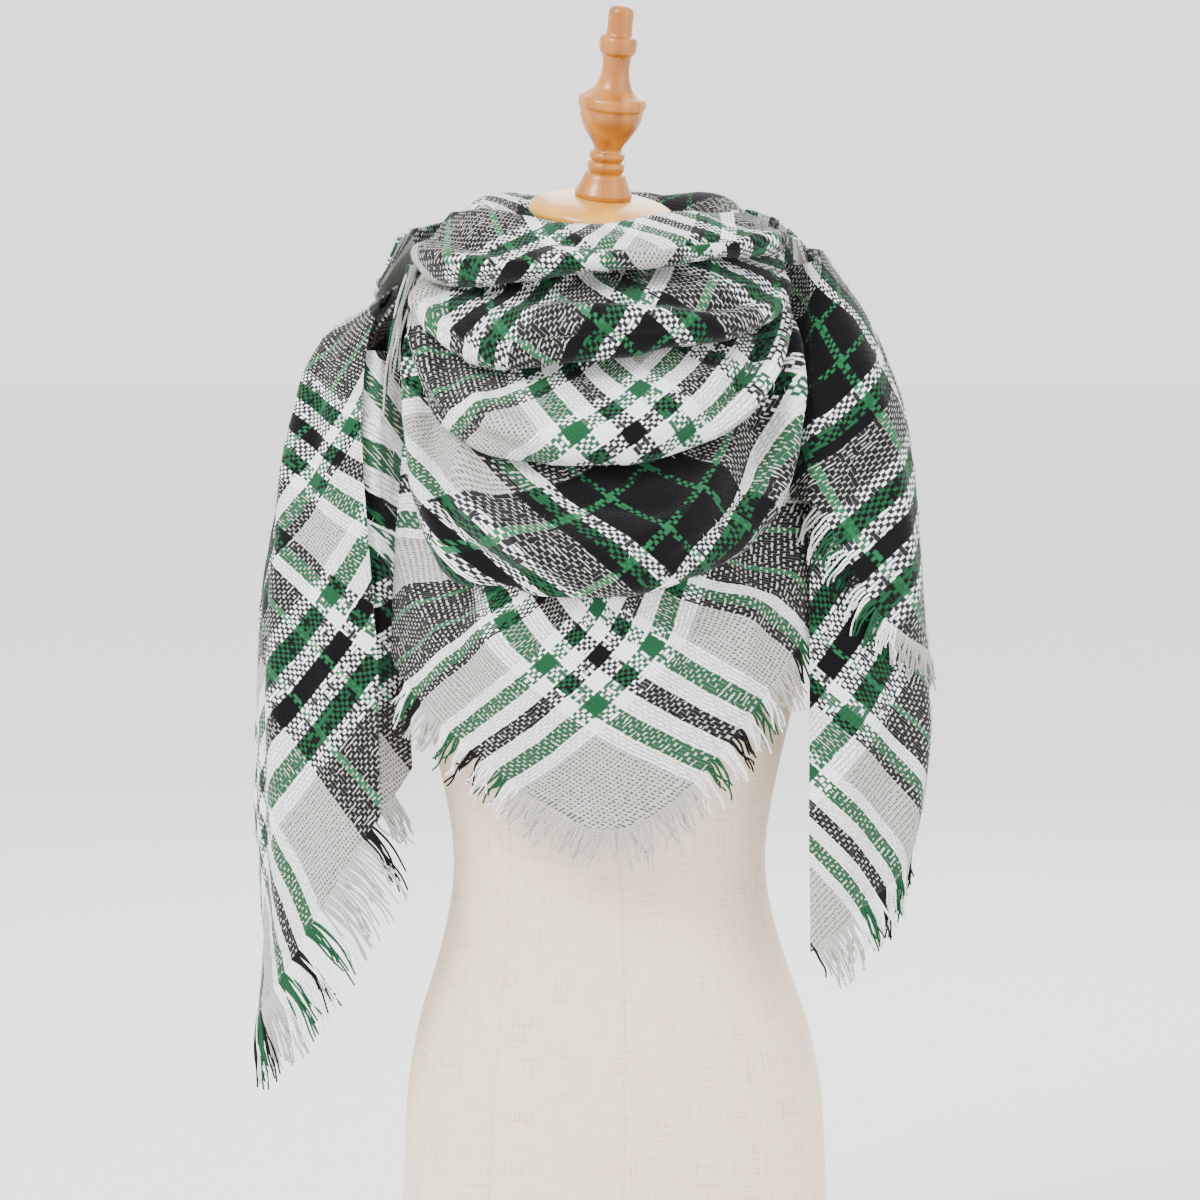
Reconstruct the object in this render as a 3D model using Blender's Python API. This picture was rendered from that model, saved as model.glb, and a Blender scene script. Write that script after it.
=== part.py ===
"""Blanket scarf wound round a countertop dress form.

A square plaid scarf is folded to a triangle.  Its long edge goes round the neck with the
point in front, and its two ends cross behind the neck and hang forward over the shoulders.
The form is a limbless linen torso with a turned beech neck cap and finial, on a post and a
round base.  Metres, +Z up, the front faces -Y, origin at the centre of the base's underside.
"""
import math

import bmesh
import bpy
import numpy as np
from mathutils import Matrix, Vector

# ---- driving sizes -------------------------------------------------------------------
WALL = 0.0022            # thickness of one stretch of the brushed cloth
SEAM = 0.0004            # clearance between pieces that meet
FRINGE_WALL = 0.0016     # thickness of a row of fringe yarns

BASE_RADIUS = 0.135
BASE_HEIGHT = 0.024
POST_RADIUS = 0.019
TORSO_BOTTOM = 0.105
NECK_TOP = 0.932
NECK_X = -0.0095         # the neck stands a little to one side of the hips
NECK_Y = -0.006
NECK_TILT = math.radians(12.0)    # the neck cap looks forward
NECK_LEAN = math.radians(5.7)     # and leans to the wearer's left
TORSO_POWER = 2.35       # squareness of the torso's sections

LOOP_X = -0.012          # centre of the loops round the neck
LOOP_POWER = 0.86        # squareness of the loops in plan
FOLD_OVERLAP = 0.014     # how far a fold starts above the bottom of the one over it in front
FOLD_OVERLAP_SIDE = 0.002     # and at the sides
FOLD_CLEAR = 0.0090      # radial room between a tucked hem and the next fold
FOLD_END = 88            # bearing of the folds' ends, behind the sides of the neck
FOLD_END_FROM = 62       # bearing from which they draw in to those ends
FOLD_END_WIDTH = 0.130   # plan radius of every fold at its ends
FOLD_END_X = -0.004      # centre of the loops at their ends

# Facets of each sheet: columns along it, rows down it.
FOLD_GRID = (23, 9)
WRAP_GRID = (21, 8)
TAIL_GRID = (15, 10)

# ---- the torso: one row for each section ---------------------------------------------
# Each row: height, half width, depth in front, depth behind, centre in X, share of tilt.
TORSO = (
    (0.105, 0.1570, 0.110, 0.098, 0.0015, 0.0),
    (0.110, 0.1620, 0.115, 0.103, 0.0015, 0.0),
    (0.180, 0.1640, 0.117, 0.106, 0.0015, 0.0),
    (0.227, 0.1635, 0.117, 0.106, 0.0015, 0.0),
    (0.272, 0.1600, 0.115, 0.104, 0.0010, 0.0),
    (0.324, 0.1485, 0.108, 0.096, 0.0000, 0.0),
    (0.376, 0.1310, 0.098, 0.085, -0.0015, 0.0),
    (0.438, 0.1195, 0.091, 0.077, -0.0027, 0.0),
    (0.505, 0.1290, 0.098, 0.080, -0.0030, 0.0),
    (0.570, 0.1450, 0.113, 0.087, -0.0040, 0.0),
    (0.620, 0.1540, 0.120, 0.093, -0.0050, 0.0),
    (0.670, 0.1600, 0.116, 0.098, -0.0060, 0.0),
    (0.730, 0.1660, 0.100, 0.101, -0.0070, 0.0),
    (0.790, 0.1740, 0.086, 0.101, -0.0080, 0.0),
    (0.825, 0.1610, 0.076, 0.094, -0.0085, 0.0),
    (0.848, 0.1300, 0.069, 0.083, -0.0090, 0.0),
    (0.864, 0.1000, 0.063, 0.073, -0.0095, 0.0),
    (0.880, 0.0740, 0.058, 0.062, -0.0095, 0.2),
    (0.898, 0.0560, 0.052, 0.054, -0.0095, 0.6),
    (0.932, 0.0500, 0.050, 0.050, -0.0095, 1.0),
)

# ---- turned wood: height up the axis and radius --------------------------------------
CAP_PROFILE = (
    (0.0000, 0.0480), (0.0015, 0.0530), (0.0045, 0.0555), (0.0080, 0.0553), (0.0110, 0.0530),
    (0.0140, 0.0470), (0.0165, 0.0370), (0.0180, 0.0260),
)
FINIAL_PROFILE = (
    (0.0000, 0.0215), (0.0032, 0.0219), (0.0056, 0.0206), (0.0111, 0.0178), (0.0176, 0.0153),
    (0.0190, 0.0128), (0.0208, 0.0136), (0.0236, 0.0142), (0.0264, 0.0135), (0.0278, 0.0117),
    (0.0296, 0.0130), (0.0319, 0.0136), (0.0342, 0.0129), (0.0356, 0.0106), (0.0398, 0.0115),
    (0.0463, 0.0159), (0.0537, 0.0204), (0.0611, 0.0233), (0.0675, 0.0242), (0.0694, 0.0255),
    (0.0731, 0.0259), (0.0768, 0.0248), (0.0786, 0.0210), (0.0833, 0.0147), (0.0907, 0.0115),
    (0.0999, 0.0103), (0.1082, 0.0112), (0.1105, 0.0132), (0.1147, 0.0142), (0.1198, 0.0142),
    (0.1226, 0.0130), (0.1244, 0.0098), (0.1323, 0.0095), (0.1406, 0.0095), (0.1443, 0.0081),
    (0.1462, 0.0047),
)
BASE_PROFILE = (
    (0.0000, 1.000), (0.5000, 1.000), (0.7200, 0.985), (0.9000, 0.930), (1.0000, 0.840),
)

# ---- the folds round the neck, from the top down --------------------------------------
# half_width and reach are the plan radii of a fold's crest.  low lists (bearing, height) of
# the fold's lowest line: bearing 0 is the front, negative to -X.
FOLDS = (
    dict(name="scarf_neck_fold_1", half_width=0.149, reach=0.148,
         low=((-88, 0.911), (-70, 0.894), (-50, 0.884), (-30, 0.883), (0, 0.893),
              (30, 0.903), (50, 0.906), (70, 0.909), (88, 0.916))),
    dict(name="scarf_neck_fold_2", half_width=0.152, reach=0.170,
         low=((-88, 0.900), (-78, 0.888), (-70, 0.873), (-56, 0.849), (-36, 0.826), (-10, 0.828),
              (20, 0.838), (45, 0.847), (66, 0.866), (78, 0.889), (88, 0.904))),
    dict(name="scarf_neck_fold_3", half_width=0.154, reach=0.182,
         low=((-88, 0.889), (-78, 0.873), (-68, 0.850), (-54, 0.797), (-36, 0.766), (-10, 0.756),
              (15, 0.758), (34, 0.775), (52, 0.806), (66, 0.843), (78, 0.875),
              (88, 0.892))),
    dict(name="scarf_neck_fold_4", half_width=0.160, reach=0.196,
         low=((-88, 0.877), (-80, 0.861), (-72, 0.836), (-66, 0.786), (-60, 0.728),
              (-48, 0.683), (-24, 0.664), (0, 0.659), (20, 0.668), (38, 0.690), (52, 0.716),
              (60, 0.745), (66, 0.788), (72, 0.838), (80, 0.864), (88, 0.880))),
)
RIM_HEIGHT = 0.944       # the upper edge of the top fold
RIM_END_DROP = 0.012     # it falls by this at its ends
RIM_DIP = 0.016          # and dips by this in front, to bare the neck cap
RIM_DIP_SPAN = 34        # over about this bearing each way
FOLD_UNDER = 0.0042      # how far a fold runs under the one over it before it swells out
# A fold in section below the fold over it: share of its depth outwards, share of its height.
FOLD_SECTION = ((-0.34, 0.60), (0.00, 0.36), (-0.06, 0.12), (-0.26, 0.00), (-0.48, 0.03))
TOP_FOLD_DEPTH = 0.064   # the top fold is rolled in towards the neck this far

# ---- the collar behind the neck -------------------------------------------------------
COLLAR_SECTION = (       # radius and height at the middle of the back
    (0.082, 0.914), (0.090, 0.934), (0.104, 0.950), (0.122, 0.956), (0.134, 0.948),
    (0.139, 0.926), (0.138, 0.898),
)
COLLAR_SPAN = 104.0      # degrees each side of the back
COLLAR_END = (0.0735, 0.0965)   # inner and outer radius of its ends, behind the top fold
COLLAR_DROP = 0.0205     # how much lower its ends lie

# ---- the two ends crossing behind the neck --------------------------------------------
# Each row: height, half width, depth behind the neck.  At -X an end is squarer and wider by
# its left_power and left_width, to clear what it passes over.
WRAP_POWER = 0.90
WRAP_INNER = (
    (0.940, 0.134, 0.143), (0.915, 0.142, 0.147), (0.890, 0.152, 0.147), (0.870, 0.166, 0.144),
    (0.850, 0.182, 0.138), (0.825, 0.196, 0.124), (0.790, 0.206, 0.1085), (0.740, 0.212, 0.1035),
    (0.660, 0.214, 0.1035),
)
WRAP_OUTER = (
    (0.945, 0.142, 0.156), (0.915, 0.152, 0.163), (0.890, 0.164, 0.165), (0.870, 0.178, 0.164),
    (0.850, 0.190, 0.159), (0.825, 0.200, 0.147), (0.790, 0.209, 0.131), (0.740, 0.215, 0.121),
    (0.660, 0.217, 0.119),
)
WRAPS = (
    dict(name="scarf_back_wrap_inner", rows=WRAP_INNER, span=(-100, 98), centre_x=0.0,
         left_power=0.90, left_width=1.003,
         low=((-100, 0.720), (-60, 0.716), (0, 0.775), (60, 0.850), (98, 0.884)),
         high=((-100, 0.862), (-60, 0.900), (0, 0.932), (60, 0.925), (98, 0.915))),
    dict(name="scarf_back_wrap_outer", rows=WRAP_OUTER, span=(-98, 100), centre_x=-0.003,
         left_power=0.76, left_width=1.055,
         low=((-98, 0.888), (-70, 0.868), (-45, 0.832), (0, 0.770), (60, 0.705), (100, 0.690)),
         high=((-98, 0.918), (-60, 0.930), (0, 0.944), (60, 0.935), (100, 0.890))),
)

# ---- the point in front ---------------------------------------------------------------
# Each row: height, half width, reach in front.
POINT = (
    (0.800, 0.170, 0.140), (0.720, 0.172, 0.150), (0.680, 0.175, 0.156), (0.650, 0.177, 0.163),
    (0.620, 0.178, 0.168), (0.580, 0.177, 0.165), (0.540, 0.175, 0.156), (0.500, 0.173, 0.145),
    (0.440, 0.170, 0.130),
)
POINT_X = -0.006
POINT_EDGE = (           # bearing and height of the woven edge
    (-70, 0.628), (-60, 0.600), (-45, 0.570), (-30, 0.540), (-15, 0.507), (0, 0.483),
    (15, 0.508), (30, 0.555), (45, 0.600), (60, 0.640), (70, 0.662),
)
POINT_HIDDEN = 0.022     # how far it reaches up behind the lowest fold
POINT_HIGHEST = 0.765    # and no higher than this at its sides
POINT_CLEAR = 0.0033     # radial room between the lowest fold's hem and the panel
POINT_SWELL = 0.045      # it swells to its full reach this far below that fold

# ---- the hanging ends, from the shoulder down -------------------------------------------
# Each row: height, X and Y of the front edge, X and Y of the outer fold, X and Y of the back
# edge; the front edge and outer fold give inner_x, front_y, outer_x and mid_y.
LEFT_TAIL = (
    (0.915, -0.166, -0.036, -0.168, 0.008, -0.118, 0.102),
    (0.885, -0.168, -0.044, -0.172, 0.004, -0.120, 0.104),
    (0.868, -0.172, -0.052, -0.183, 0.000, -0.124, 0.108),
    (0.856, -0.174, -0.062, -0.204, -0.004, -0.130, 0.106),
    (0.825, -0.175, -0.078, -0.231, -0.012, -0.136, 0.100),
    (0.788, -0.175, -0.090, -0.242, -0.018, -0.142, 0.100),
    (0.750, -0.175, -0.097, -0.252, -0.022, -0.150, 0.096),
    (0.700, -0.175, -0.101, -0.258, -0.025, -0.160, 0.090),
    (0.660, -0.175, -0.103, -0.264, -0.028, -0.170, 0.084),
    (0.600, -0.175, -0.104, -0.268, -0.030, -0.185, 0.066),
    (0.540, -0.175, -0.105, -0.271, -0.034, -0.196, 0.048),
    (0.480, -0.174, -0.104, -0.269, -0.040, -0.204, 0.030),
    (0.400, -0.182, -0.101, -0.266, -0.048, -0.220, 0.006),
    (0.310, -0.200, -0.096, -0.272, -0.056, -0.240, -0.012),
)
RIGHT_TAIL = (
    (0.925, 0.146, -0.020, 0.154, 0.012, 0.102, 0.132),
    (0.905, 0.147, -0.032, 0.162, 0.010, 0.108, 0.136),
    (0.880, 0.148, -0.048, 0.180, 0.004, 0.114, 0.137),
    (0.856, 0.148, -0.062, 0.196, -0.002, 0.120, 0.134),
    (0.828, 0.148, -0.078, 0.209, -0.008, 0.126, 0.127),
    (0.792, 0.147, -0.092, 0.222, -0.012, 0.132, 0.119),
    (0.737, 0.146, -0.104, 0.230, -0.018, 0.142, 0.107),
    (0.680, 0.146, -0.110, 0.235, -0.021, 0.152, 0.094),
    (0.620, 0.146, -0.112, 0.239, -0.023, 0.166, 0.078),
    (0.540, 0.146, -0.112, 0.245, -0.028, 0.180, 0.056),
    (0.480, 0.146, -0.111, 0.238, -0.034, 0.190, 0.034),
    (0.430, 0.147, -0.109, 0.226, -0.044, 0.192, 0.010),
    (0.340, 0.148, -0.104, 0.190, -0.060, 0.176, -0.020),
)
UNDER_STEP = 0.0075      # the left under ply lies this far inside the ply over it
RIGHT_UNDER_STEP = 0.0040
TAILS = (
    dict(name="scarf_left_tail", rows=LEFT_TAIL, inset=0.0, around=(0.0, 1.0),
         high=((0.0, 0.866), (0.25, 0.872), (0.5, 0.876), (0.75, 0.886), (1.0, 0.896)),
         low=((0.0, 0.486), (0.1, 0.428), (0.2, 0.384), (0.3, 0.354), (0.4, 0.336),
              (0.5, 0.328), (0.6, 0.372), (0.8, 0.540), (1.0, 0.720))),
    dict(name="scarf_left_under_ply", rows=LEFT_TAIL, inset=UNDER_STEP, around=(-0.08, 0.84),
         high=((-0.08, 0.752), (-0.04, 0.780), (0.08, 0.812), (0.3, 0.820), (0.84, 0.816)),
         low=((-0.08, 0.500), (0.12, 0.480), (0.5, 0.446), (0.84, 0.640))),
    dict(name="scarf_right_flap", rows=RIGHT_TAIL, inset=0.0, around=(0.0, 1.0),
         high=((0.0, 0.898), (0.25, 0.905), (0.5, 0.909), (0.75, 0.912), (1.0, 0.915)),
         low=((0.0, 0.7235), (0.06, 0.690), (0.15, 0.644), (0.25, 0.624), (0.38, 0.611),
              (0.5, 0.604), (0.75, 0.620), (1.0, 0.690))),
    dict(name="scarf_right_tail", rows=RIGHT_TAIL, inset=RIGHT_UNDER_STEP, around=(0.0, 0.9),
         high=((0.0, 0.800), (0.25, 0.790), (0.5, 0.780), (0.9, 0.770)),
         low=((0.0, 0.385), (0.1, 0.408), (0.2, 0.424), (0.3, 0.437), (0.5, 0.455),
              (0.7, 0.520), (0.9, 0.640))),
)
TAIL_POWER = 0.80        # squareness of an end's section
INWARD = 0.10            # how far an inner ply runs inwards past the front edge

# ---- the fringe on the woven edges ------------------------------------------------------
# along is the stretch of the sheet's lower edge, from 0 to 1, and sway turns it to +X.
FRINGE_WEIGHT = 0.7      # how far the yarns turn down
FRINGE_ROWS = 3
EDGE_STEP = 0.01         # share of an edge used to find its direction
FRINGES = (
    dict(name="fringe_point_left", on="scarf_front_point", along=(0.10, 0.496), length=0.030,
         sway=-0.45),
    dict(name="fringe_point_right", on="scarf_front_point", along=(0.504, 0.92), length=0.032,
         sway=0.10),
    dict(name="fringe_left_tail_front", on="scarf_left_tail", along=(0.01, 0.495), length=0.040,
         sway=0.20),
    dict(name="fringe_left_tail_back", on="scarf_left_tail", along=(0.505, 0.99), length=0.030,
         sway=0.05),
    dict(name="fringe_left_under_ply", on="scarf_left_under_ply", along=(0.01, 0.16),
         length=0.030, sway=0.5, columns=5),
    dict(name="fringe_right_flap", on="scarf_right_flap", along=(0.01, 0.99), length=0.026,
         sway=0.0),
    dict(name="fringe_right_tail", on="scarf_right_tail", along=(0.01, 0.99), length=0.034,
         sway=0.0),
    dict(name="fringe_back_outer", on="scarf_back_wrap_outer", along=(0.31, 0.96), length=0.026,
         sway=0.0),
    dict(name="fringe_back_inner", on="scarf_back_wrap_inner", along=(0.01, 0.33), length=0.026,
         sway=0.0),
)

# The yarns of a loose corner, hanging at the right side of the neck.  Each row: share of
# their length, then X, Y and Z.
NECK_STRANDS = (
    (0.00, -0.1500, -0.0665, 0.8980), (0.30, -0.1585, -0.0815, 0.8650),
    (0.65, -0.1655, -0.0930, 0.8250), (1.00, -0.1705, -0.1000, 0.7850),
)
NECK_STRANDS_WIDTH = 0.009
NECK_STRANDS_GRID = (3, 7)

# ---- materials: colour, roughness, metallic --------------------------------------------
FINISHES = {
    "brushed plaid cloth": ((0.16, 0.20, 0.17), 0.92, 0.0),
    "plaid fringe yarn": ((0.36, 0.42, 0.38), 0.90, 0.0),
    "linen cover": ((0.86, 0.79, 0.70), 0.85, 0.0),
    "varnished beech": ((0.72, 0.36, 0.09), 0.28, 0.0),
}


def clear_scene():
    """Take every object out of the scene."""
    for obj in list(bpy.data.objects):
        bpy.data.objects.remove(obj, do_unlink=True)


def finish(name):
    """The named material, made once."""
    material = bpy.data.materials.get(name)
    if material is None:
        colour, roughness, metallic = FINISHES[name]
        material = bpy.data.materials.new(name)
        material.use_nodes = True
        shader = material.node_tree.nodes["Principled BSDF"]
        shader.inputs["Base Color"].default_value = (*colour, 1.0)
        shader.inputs["Roughness"].default_value = roughness
        shader.inputs["Metallic"].default_value = metallic
    return material


def add_object(name, vertices, faces, material):
    """One mesh object, its faces turned outwards and shaded smooth where they are round."""
    mesh = bpy.data.meshes.new(name)
    mesh.from_pydata([tuple(map(float, v)) for v in vertices], [], faces)
    solid = bmesh.new()
    solid.from_mesh(mesh)
    bmesh.ops.recalc_face_normals(solid, faces=solid.faces)
    solid.to_mesh(mesh)
    solid.free()
    mesh.shade_smooth()
    mesh.set_sharp_from_angle(angle=math.radians(40))
    mesh.materials.append(finish(material))
    obj = bpy.data.objects.new(name, mesh)
    bpy.context.scene.collection.objects.link(obj)
    return obj


def smooth(table, at):
    """Read a table of rows (key, value, ...) at a key, on a smooth curve through its rows."""
    rows = np.asarray(table, dtype=float)
    keys = rows[:, 0]
    values = rows[:, 1:]
    if keys[0] > keys[-1]:
        keys = keys[::-1]
        values = values[::-1]
    at = min(max(at, keys[0]), keys[-1])
    slopes = np.gradient(values, keys, axis=0)
    i = int(np.clip(np.searchsorted(keys, at) - 1, 0, len(keys) - 2))
    width = keys[i + 1] - keys[i]
    s = (at - keys[i]) / width
    start = (1 + 2 * s) * (1 - s) ** 2 * values[i] + s * (1 - s) ** 2 * width * slopes[i]
    end = s * s * (3 - 2 * s) * values[i + 1] + s * s * (s - 1) * width * slopes[i + 1]
    result = start + end
    return float(result[0]) if len(result) == 1 else result


def powered(value, power):
    """A sine or cosine raised to a power with its sign kept."""
    return math.copysign(abs(value) ** power, value)


# ---- solids from rings and sheets -------------------------------------------------------
def closed_rings(rings):
    """Vertices and faces of a solid through rings of equal count, with flat ends."""
    count = len(rings[0])
    vertices = [point for ring in rings for point in ring]
    faces = []
    for r in range(len(rings) - 1):
        for i in range(count):
            j = (i + 1) % count
            faces.append((r * count + i, r * count + j, (r + 1) * count + j, (r + 1) * count + i))
    faces.append(tuple(reversed(range(count))))
    faces.append(tuple(range((len(rings) - 1) * count, len(rings) * count)))
    return vertices, faces


def sheet_normals(grid):
    """Unit normals of a grid of points."""
    along = np.gradient(grid, axis=1)
    down = np.gradient(grid, axis=0)
    normal = np.cross(along, down)
    return normal / np.maximum(np.linalg.norm(normal, axis=2, keepdims=True), 1e-12)


def sheet_solid(grid, wall):
    """A cloth wall: the grid is its middle, and the wall lies half on each side."""
    rows, columns, _ = grid.shape
    offset = sheet_normals(grid) * wall / 2
    count = rows * columns
    vertices = np.concatenate([(grid + offset).reshape(-1, 3), (grid - offset).reshape(-1, 3)])
    faces = []
    for r in range(rows - 1):
        for c in range(columns - 1):
            a = r * columns + c
            quad = (a, a + 1, a + columns + 1, a + columns)
            faces.append(quad)
            faces.append(tuple(count + v for v in reversed(quad)))
    rim = [(0, c) for c in range(columns)]
    rim += [(r, columns - 1) for r in range(1, rows)]
    rim += [(rows - 1, c) for c in range(columns - 2, -1, -1)]
    rim += [(r, 0) for r in range(rows - 2, 0, -1)]
    for k, (r, c) in enumerate(rim):
        r_next, c_next = rim[(k + 1) % len(rim)]
        a = r * columns + c
        b = r_next * columns + c_next
        faces.append((a, count + a, count + b, b))
    return vertices, faces


def edge_point(surface, columns, at):
    """A point on the faceted lower edge of a sheet made with a number of columns."""
    place = min(max(at, 0.0), 1.0) * (columns - 1)
    left = min(int(place), columns - 2)
    first = Vector(surface(left / (columns - 1), 1.0))
    return first.lerp(Vector(surface((left + 1) / (columns - 1), 1.0)), place - left)


def sample_sheet(surface, columns, rows):
    """A grid of points from surface(across, down), both from 0 to 1."""
    return np.array([[surface(c, r) for c in np.linspace(0, 1, columns)]
                     for r in np.linspace(0, 1, rows)])


def cloth_piece(name, grid):
    """One stretch of cloth as a thin closed wall."""
    return add_object(name, *sheet_solid(grid, WALL), "brushed plaid cloth")


def fringe_piece(name, grid):
    """One row of fringe as a thin closed wall."""
    return add_object(name, *sheet_solid(grid, FRINGE_WALL), "plaid fringe yarn")


# ---- the dress form ---------------------------------------------------------------------
def neck_frame():
    """The tilted frame at the middle of the neck's top."""
    axis = Vector((math.tan(NECK_LEAN), -math.tan(NECK_TILT), 1.0)).normalized()
    turn = Vector((0, 0, 1)).rotation_difference(axis).to_matrix().to_4x4()
    return Matrix.Translation((NECK_X, NECK_Y, NECK_TOP)) @ turn


def torso_ring(row, count):
    """One section of the torso: a squared oval, tilted where the neck leans."""
    z, half_width, front, back, centre_x, tilt = row
    points = []
    for i in range(count):
        angle = 2 * math.pi * i / count
        x = half_width * powered(math.sin(angle), 2 / TORSO_POWER)
        y = -powered(math.cos(angle), 2 / TORSO_POWER)
        y *= front if y < 0 else back
        y += NECK_Y * tilt
        rise = tilt * ((y - NECK_Y * tilt) * math.tan(NECK_TILT) - x * math.tan(NECK_LEAN))
        points.append((centre_x + x, y, z + rise))
    return points


def build_torso():
    """The linen torso, flat underneath and flat at the neck."""
    levels = sorted(set([row[0] for row in TORSO] + [0.145, 0.30, 0.35, 0.407, 0.472, 0.538, 0.70,
                                                     0.76, 0.837, 0.857, 0.872]))
    rings = [torso_ring((z, *smooth(TORSO, z)), 40) for z in levels]
    return add_object("torso", *closed_rings(rings), "linen cover")


def turned(name, profile, count, frame, material):
    """A turned piece: its profile of height and radius spun round the frame's axis."""
    rings = []
    for height, radius in profile:
        ring = []
        for i in range(count):
            angle = 2 * math.pi * i / count
            point = Vector((radius * math.cos(angle), radius * math.sin(angle), height))
            ring.append(frame @ point)
        rings.append(ring)
    return add_object(name, *closed_rings(rings), material)


def build_stand():
    """Neck cap and finial above, post and base below."""
    neck = neck_frame()
    turned("neck_cap", CAP_PROFILE, 32, neck @ Matrix.Translation((0, 0, SEAM)),
           "varnished beech")
    foot = CAP_PROFILE[-1][0] + 2 * SEAM
    turned("finial", FINIAL_PROFILE, 20, neck @ Matrix.Translation((0, 0, foot)),
           "varnished beech")
    upright = Matrix.Identity(4)
    base = [(h * BASE_HEIGHT, r * BASE_RADIUS) for h, r in BASE_PROFILE]
    turned("base", base, 48, upright, "varnished beech")
    low = BASE_HEIGHT + SEAM
    high = TORSO_BOTTOM - SEAM
    collar = 0.006
    post = ((low, POST_RADIUS * 1.35), (low + collar, POST_RADIUS * 1.35),
            (low + 2 * collar, POST_RADIUS), (high, POST_RADIUS))
    turned("post", post, 24, upright, "varnished beech")


# ---- the scarf --------------------------------------------------------------------------
def on_loop(bearing, half_width, reach, centre_x):
    """The plan point of a loop round the neck."""
    angle = math.radians(bearing)
    return (centre_x + half_width * powered(math.sin(angle), LOOP_POWER),
            -reach * powered(math.cos(angle), LOOP_POWER))


def eased(value):
    """A smooth step from 0 to 1."""
    value = min(max(value, 0.0), 1.0)
    return value * value * (3 - 2 * value)


def fold_crests(bearing):
    """For each fold at a bearing: the half width and reach of its crest, and its depth."""
    ending = eased((abs(bearing) - FOLD_END_FROM) / (FOLD_END - FOLD_END_FROM))
    front = math.cos(math.radians(bearing)) ** 2
    crests = []
    for fold in FOLDS:
        half_width = fold["half_width"] + (FOLD_END_WIDTH - fold["half_width"]) * ending
        reach = fold["reach"]
        if crests:
            last_width, last_reach, last_depth = crests[-1]
            step_out = (reach - last_reach) * front + (half_width - last_width) * (1 - front)
            depth = step_out - FOLD_SECTION[-1][0] * last_depth + FOLD_CLEAR
        else:
            depth = TOP_FOLD_DEPTH * (0.42 + 0.58 * front)
        crests.append((half_width, reach, depth))
    return crests


def loop_centre(bearing):
    """The loops' centre in X at a bearing."""
    ending = eased((abs(bearing) - FOLD_END_FROM) / (FOLD_END - FOLD_END_FROM))
    return LOOP_X + (FOLD_END_X - LOOP_X) * ending


def fold_surface(index):
    """The surface of one fold round the neck."""
    fold = FOLDS[index]

    def surface(across, down):
        bearing = FOLD_END * (2 * across - 1)
        low = smooth(fold["low"], bearing)
        if index == 0:
            high = RIM_HEIGHT - RIM_END_DROP * (bearing / FOLD_END) ** 2
            high -= RIM_DIP * math.exp(-(bearing / RIM_DIP_SPAN) ** 2)
            rows = [(-1.0, high - 0.006), (-0.88, high)]
        else:
            high = smooth(FOLDS[index - 1]["low"], bearing)
            front = math.cos(math.radians(bearing)) ** 2
            overlap = FOLD_OVERLAP * front + FOLD_OVERLAP_SIDE * (1 - front)
            rows = [(-1.0, high + overlap), (-0.97, high - FOLD_UNDER)]
        rows += [(out, low + up * (high - low)) for out, up in FOLD_SECTION]
        last = len(rows) - 1
        out, z = smooth([(k / last, *row) for k, row in enumerate(rows)], down)
        half_width, reach, depth = fold_crests(bearing)[index]
        x, y = on_loop(bearing, half_width + out * depth, reach + out * depth,
                       loop_centre(bearing))
        return (x, y, z)

    return surface


def collar_surface(across, down):
    """The rolled collar behind the neck, whose ends run in behind the top fold."""
    bearing = (2 * across - 1) * COLLAR_SPAN
    section = [(k / (len(COLLAR_SECTION) - 1), *row) for k, row in enumerate(COLLAR_SECTION)]
    radius, z = smooth(section, down)
    ending = eased((abs(bearing) / COLLAR_SPAN - 0.3) / 0.7)
    inner, outer = COLLAR_END
    share = (radius - COLLAR_SECTION[0][0]) / (COLLAR_SECTION[-1][0] - COLLAR_SECTION[0][0])
    radius += (inner + (outer - inner) * share - radius) * ending
    angle = math.radians(bearing)
    return (LOOP_X * (1 - ending) + radius * math.sin(angle), radius * math.cos(angle),
            z - COLLAR_DROP * ending)


def wrap_surface(wrap):
    """One end crossing the back.  Bearing 0 is the middle of the back, positive to +X."""
    first, last = wrap["span"]

    def surface(across, down):
        bearing = first + (last - first) * across
        high = smooth(wrap["high"], bearing)
        low = smooth(wrap["low"], bearing)
        z = high + (low - high) * down
        half_width, depth = smooth(wrap["rows"], z)
        angle = math.radians(bearing)
        power = WRAP_POWER
        if bearing < 0:
            power = wrap["left_power"]
            half_width *= wrap["left_width"]
        return (wrap["centre_x"] + half_width * powered(math.sin(angle), power),
                depth * powered(math.cos(angle), power), z)

    return surface


def point_surface(across, down):
    """The panel that hangs from behind the lowest fold and ends in the scarf's point."""
    span = POINT_EDGE[-1][0]
    bearing = (2 * across - 1) * span
    fold_low = smooth(FOLDS[-1]["low"], bearing)
    high = min(fold_low + POINT_HIDDEN, POINT_HIGHEST)
    low = smooth(POINT_EDGE, bearing)
    z = high + (low - high) * down
    half_width, reach = smooth(POINT, z)
    crest_width, crest_reach, depth = fold_crests(bearing)[-1]
    tuck = -FOLD_SECTION[-1][0] * depth + POINT_CLEAR
    swell = eased((fold_low - z) / POINT_SWELL)
    half_width = (crest_width - tuck) * (1 - swell) + half_width * swell
    reach = (crest_reach - tuck) * (1 - swell) + reach * swell
    x, y = on_loop(bearing, half_width, reach, LOOP_X * (1 - swell) + POINT_X * swell)
    return (x, y, z)


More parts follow.
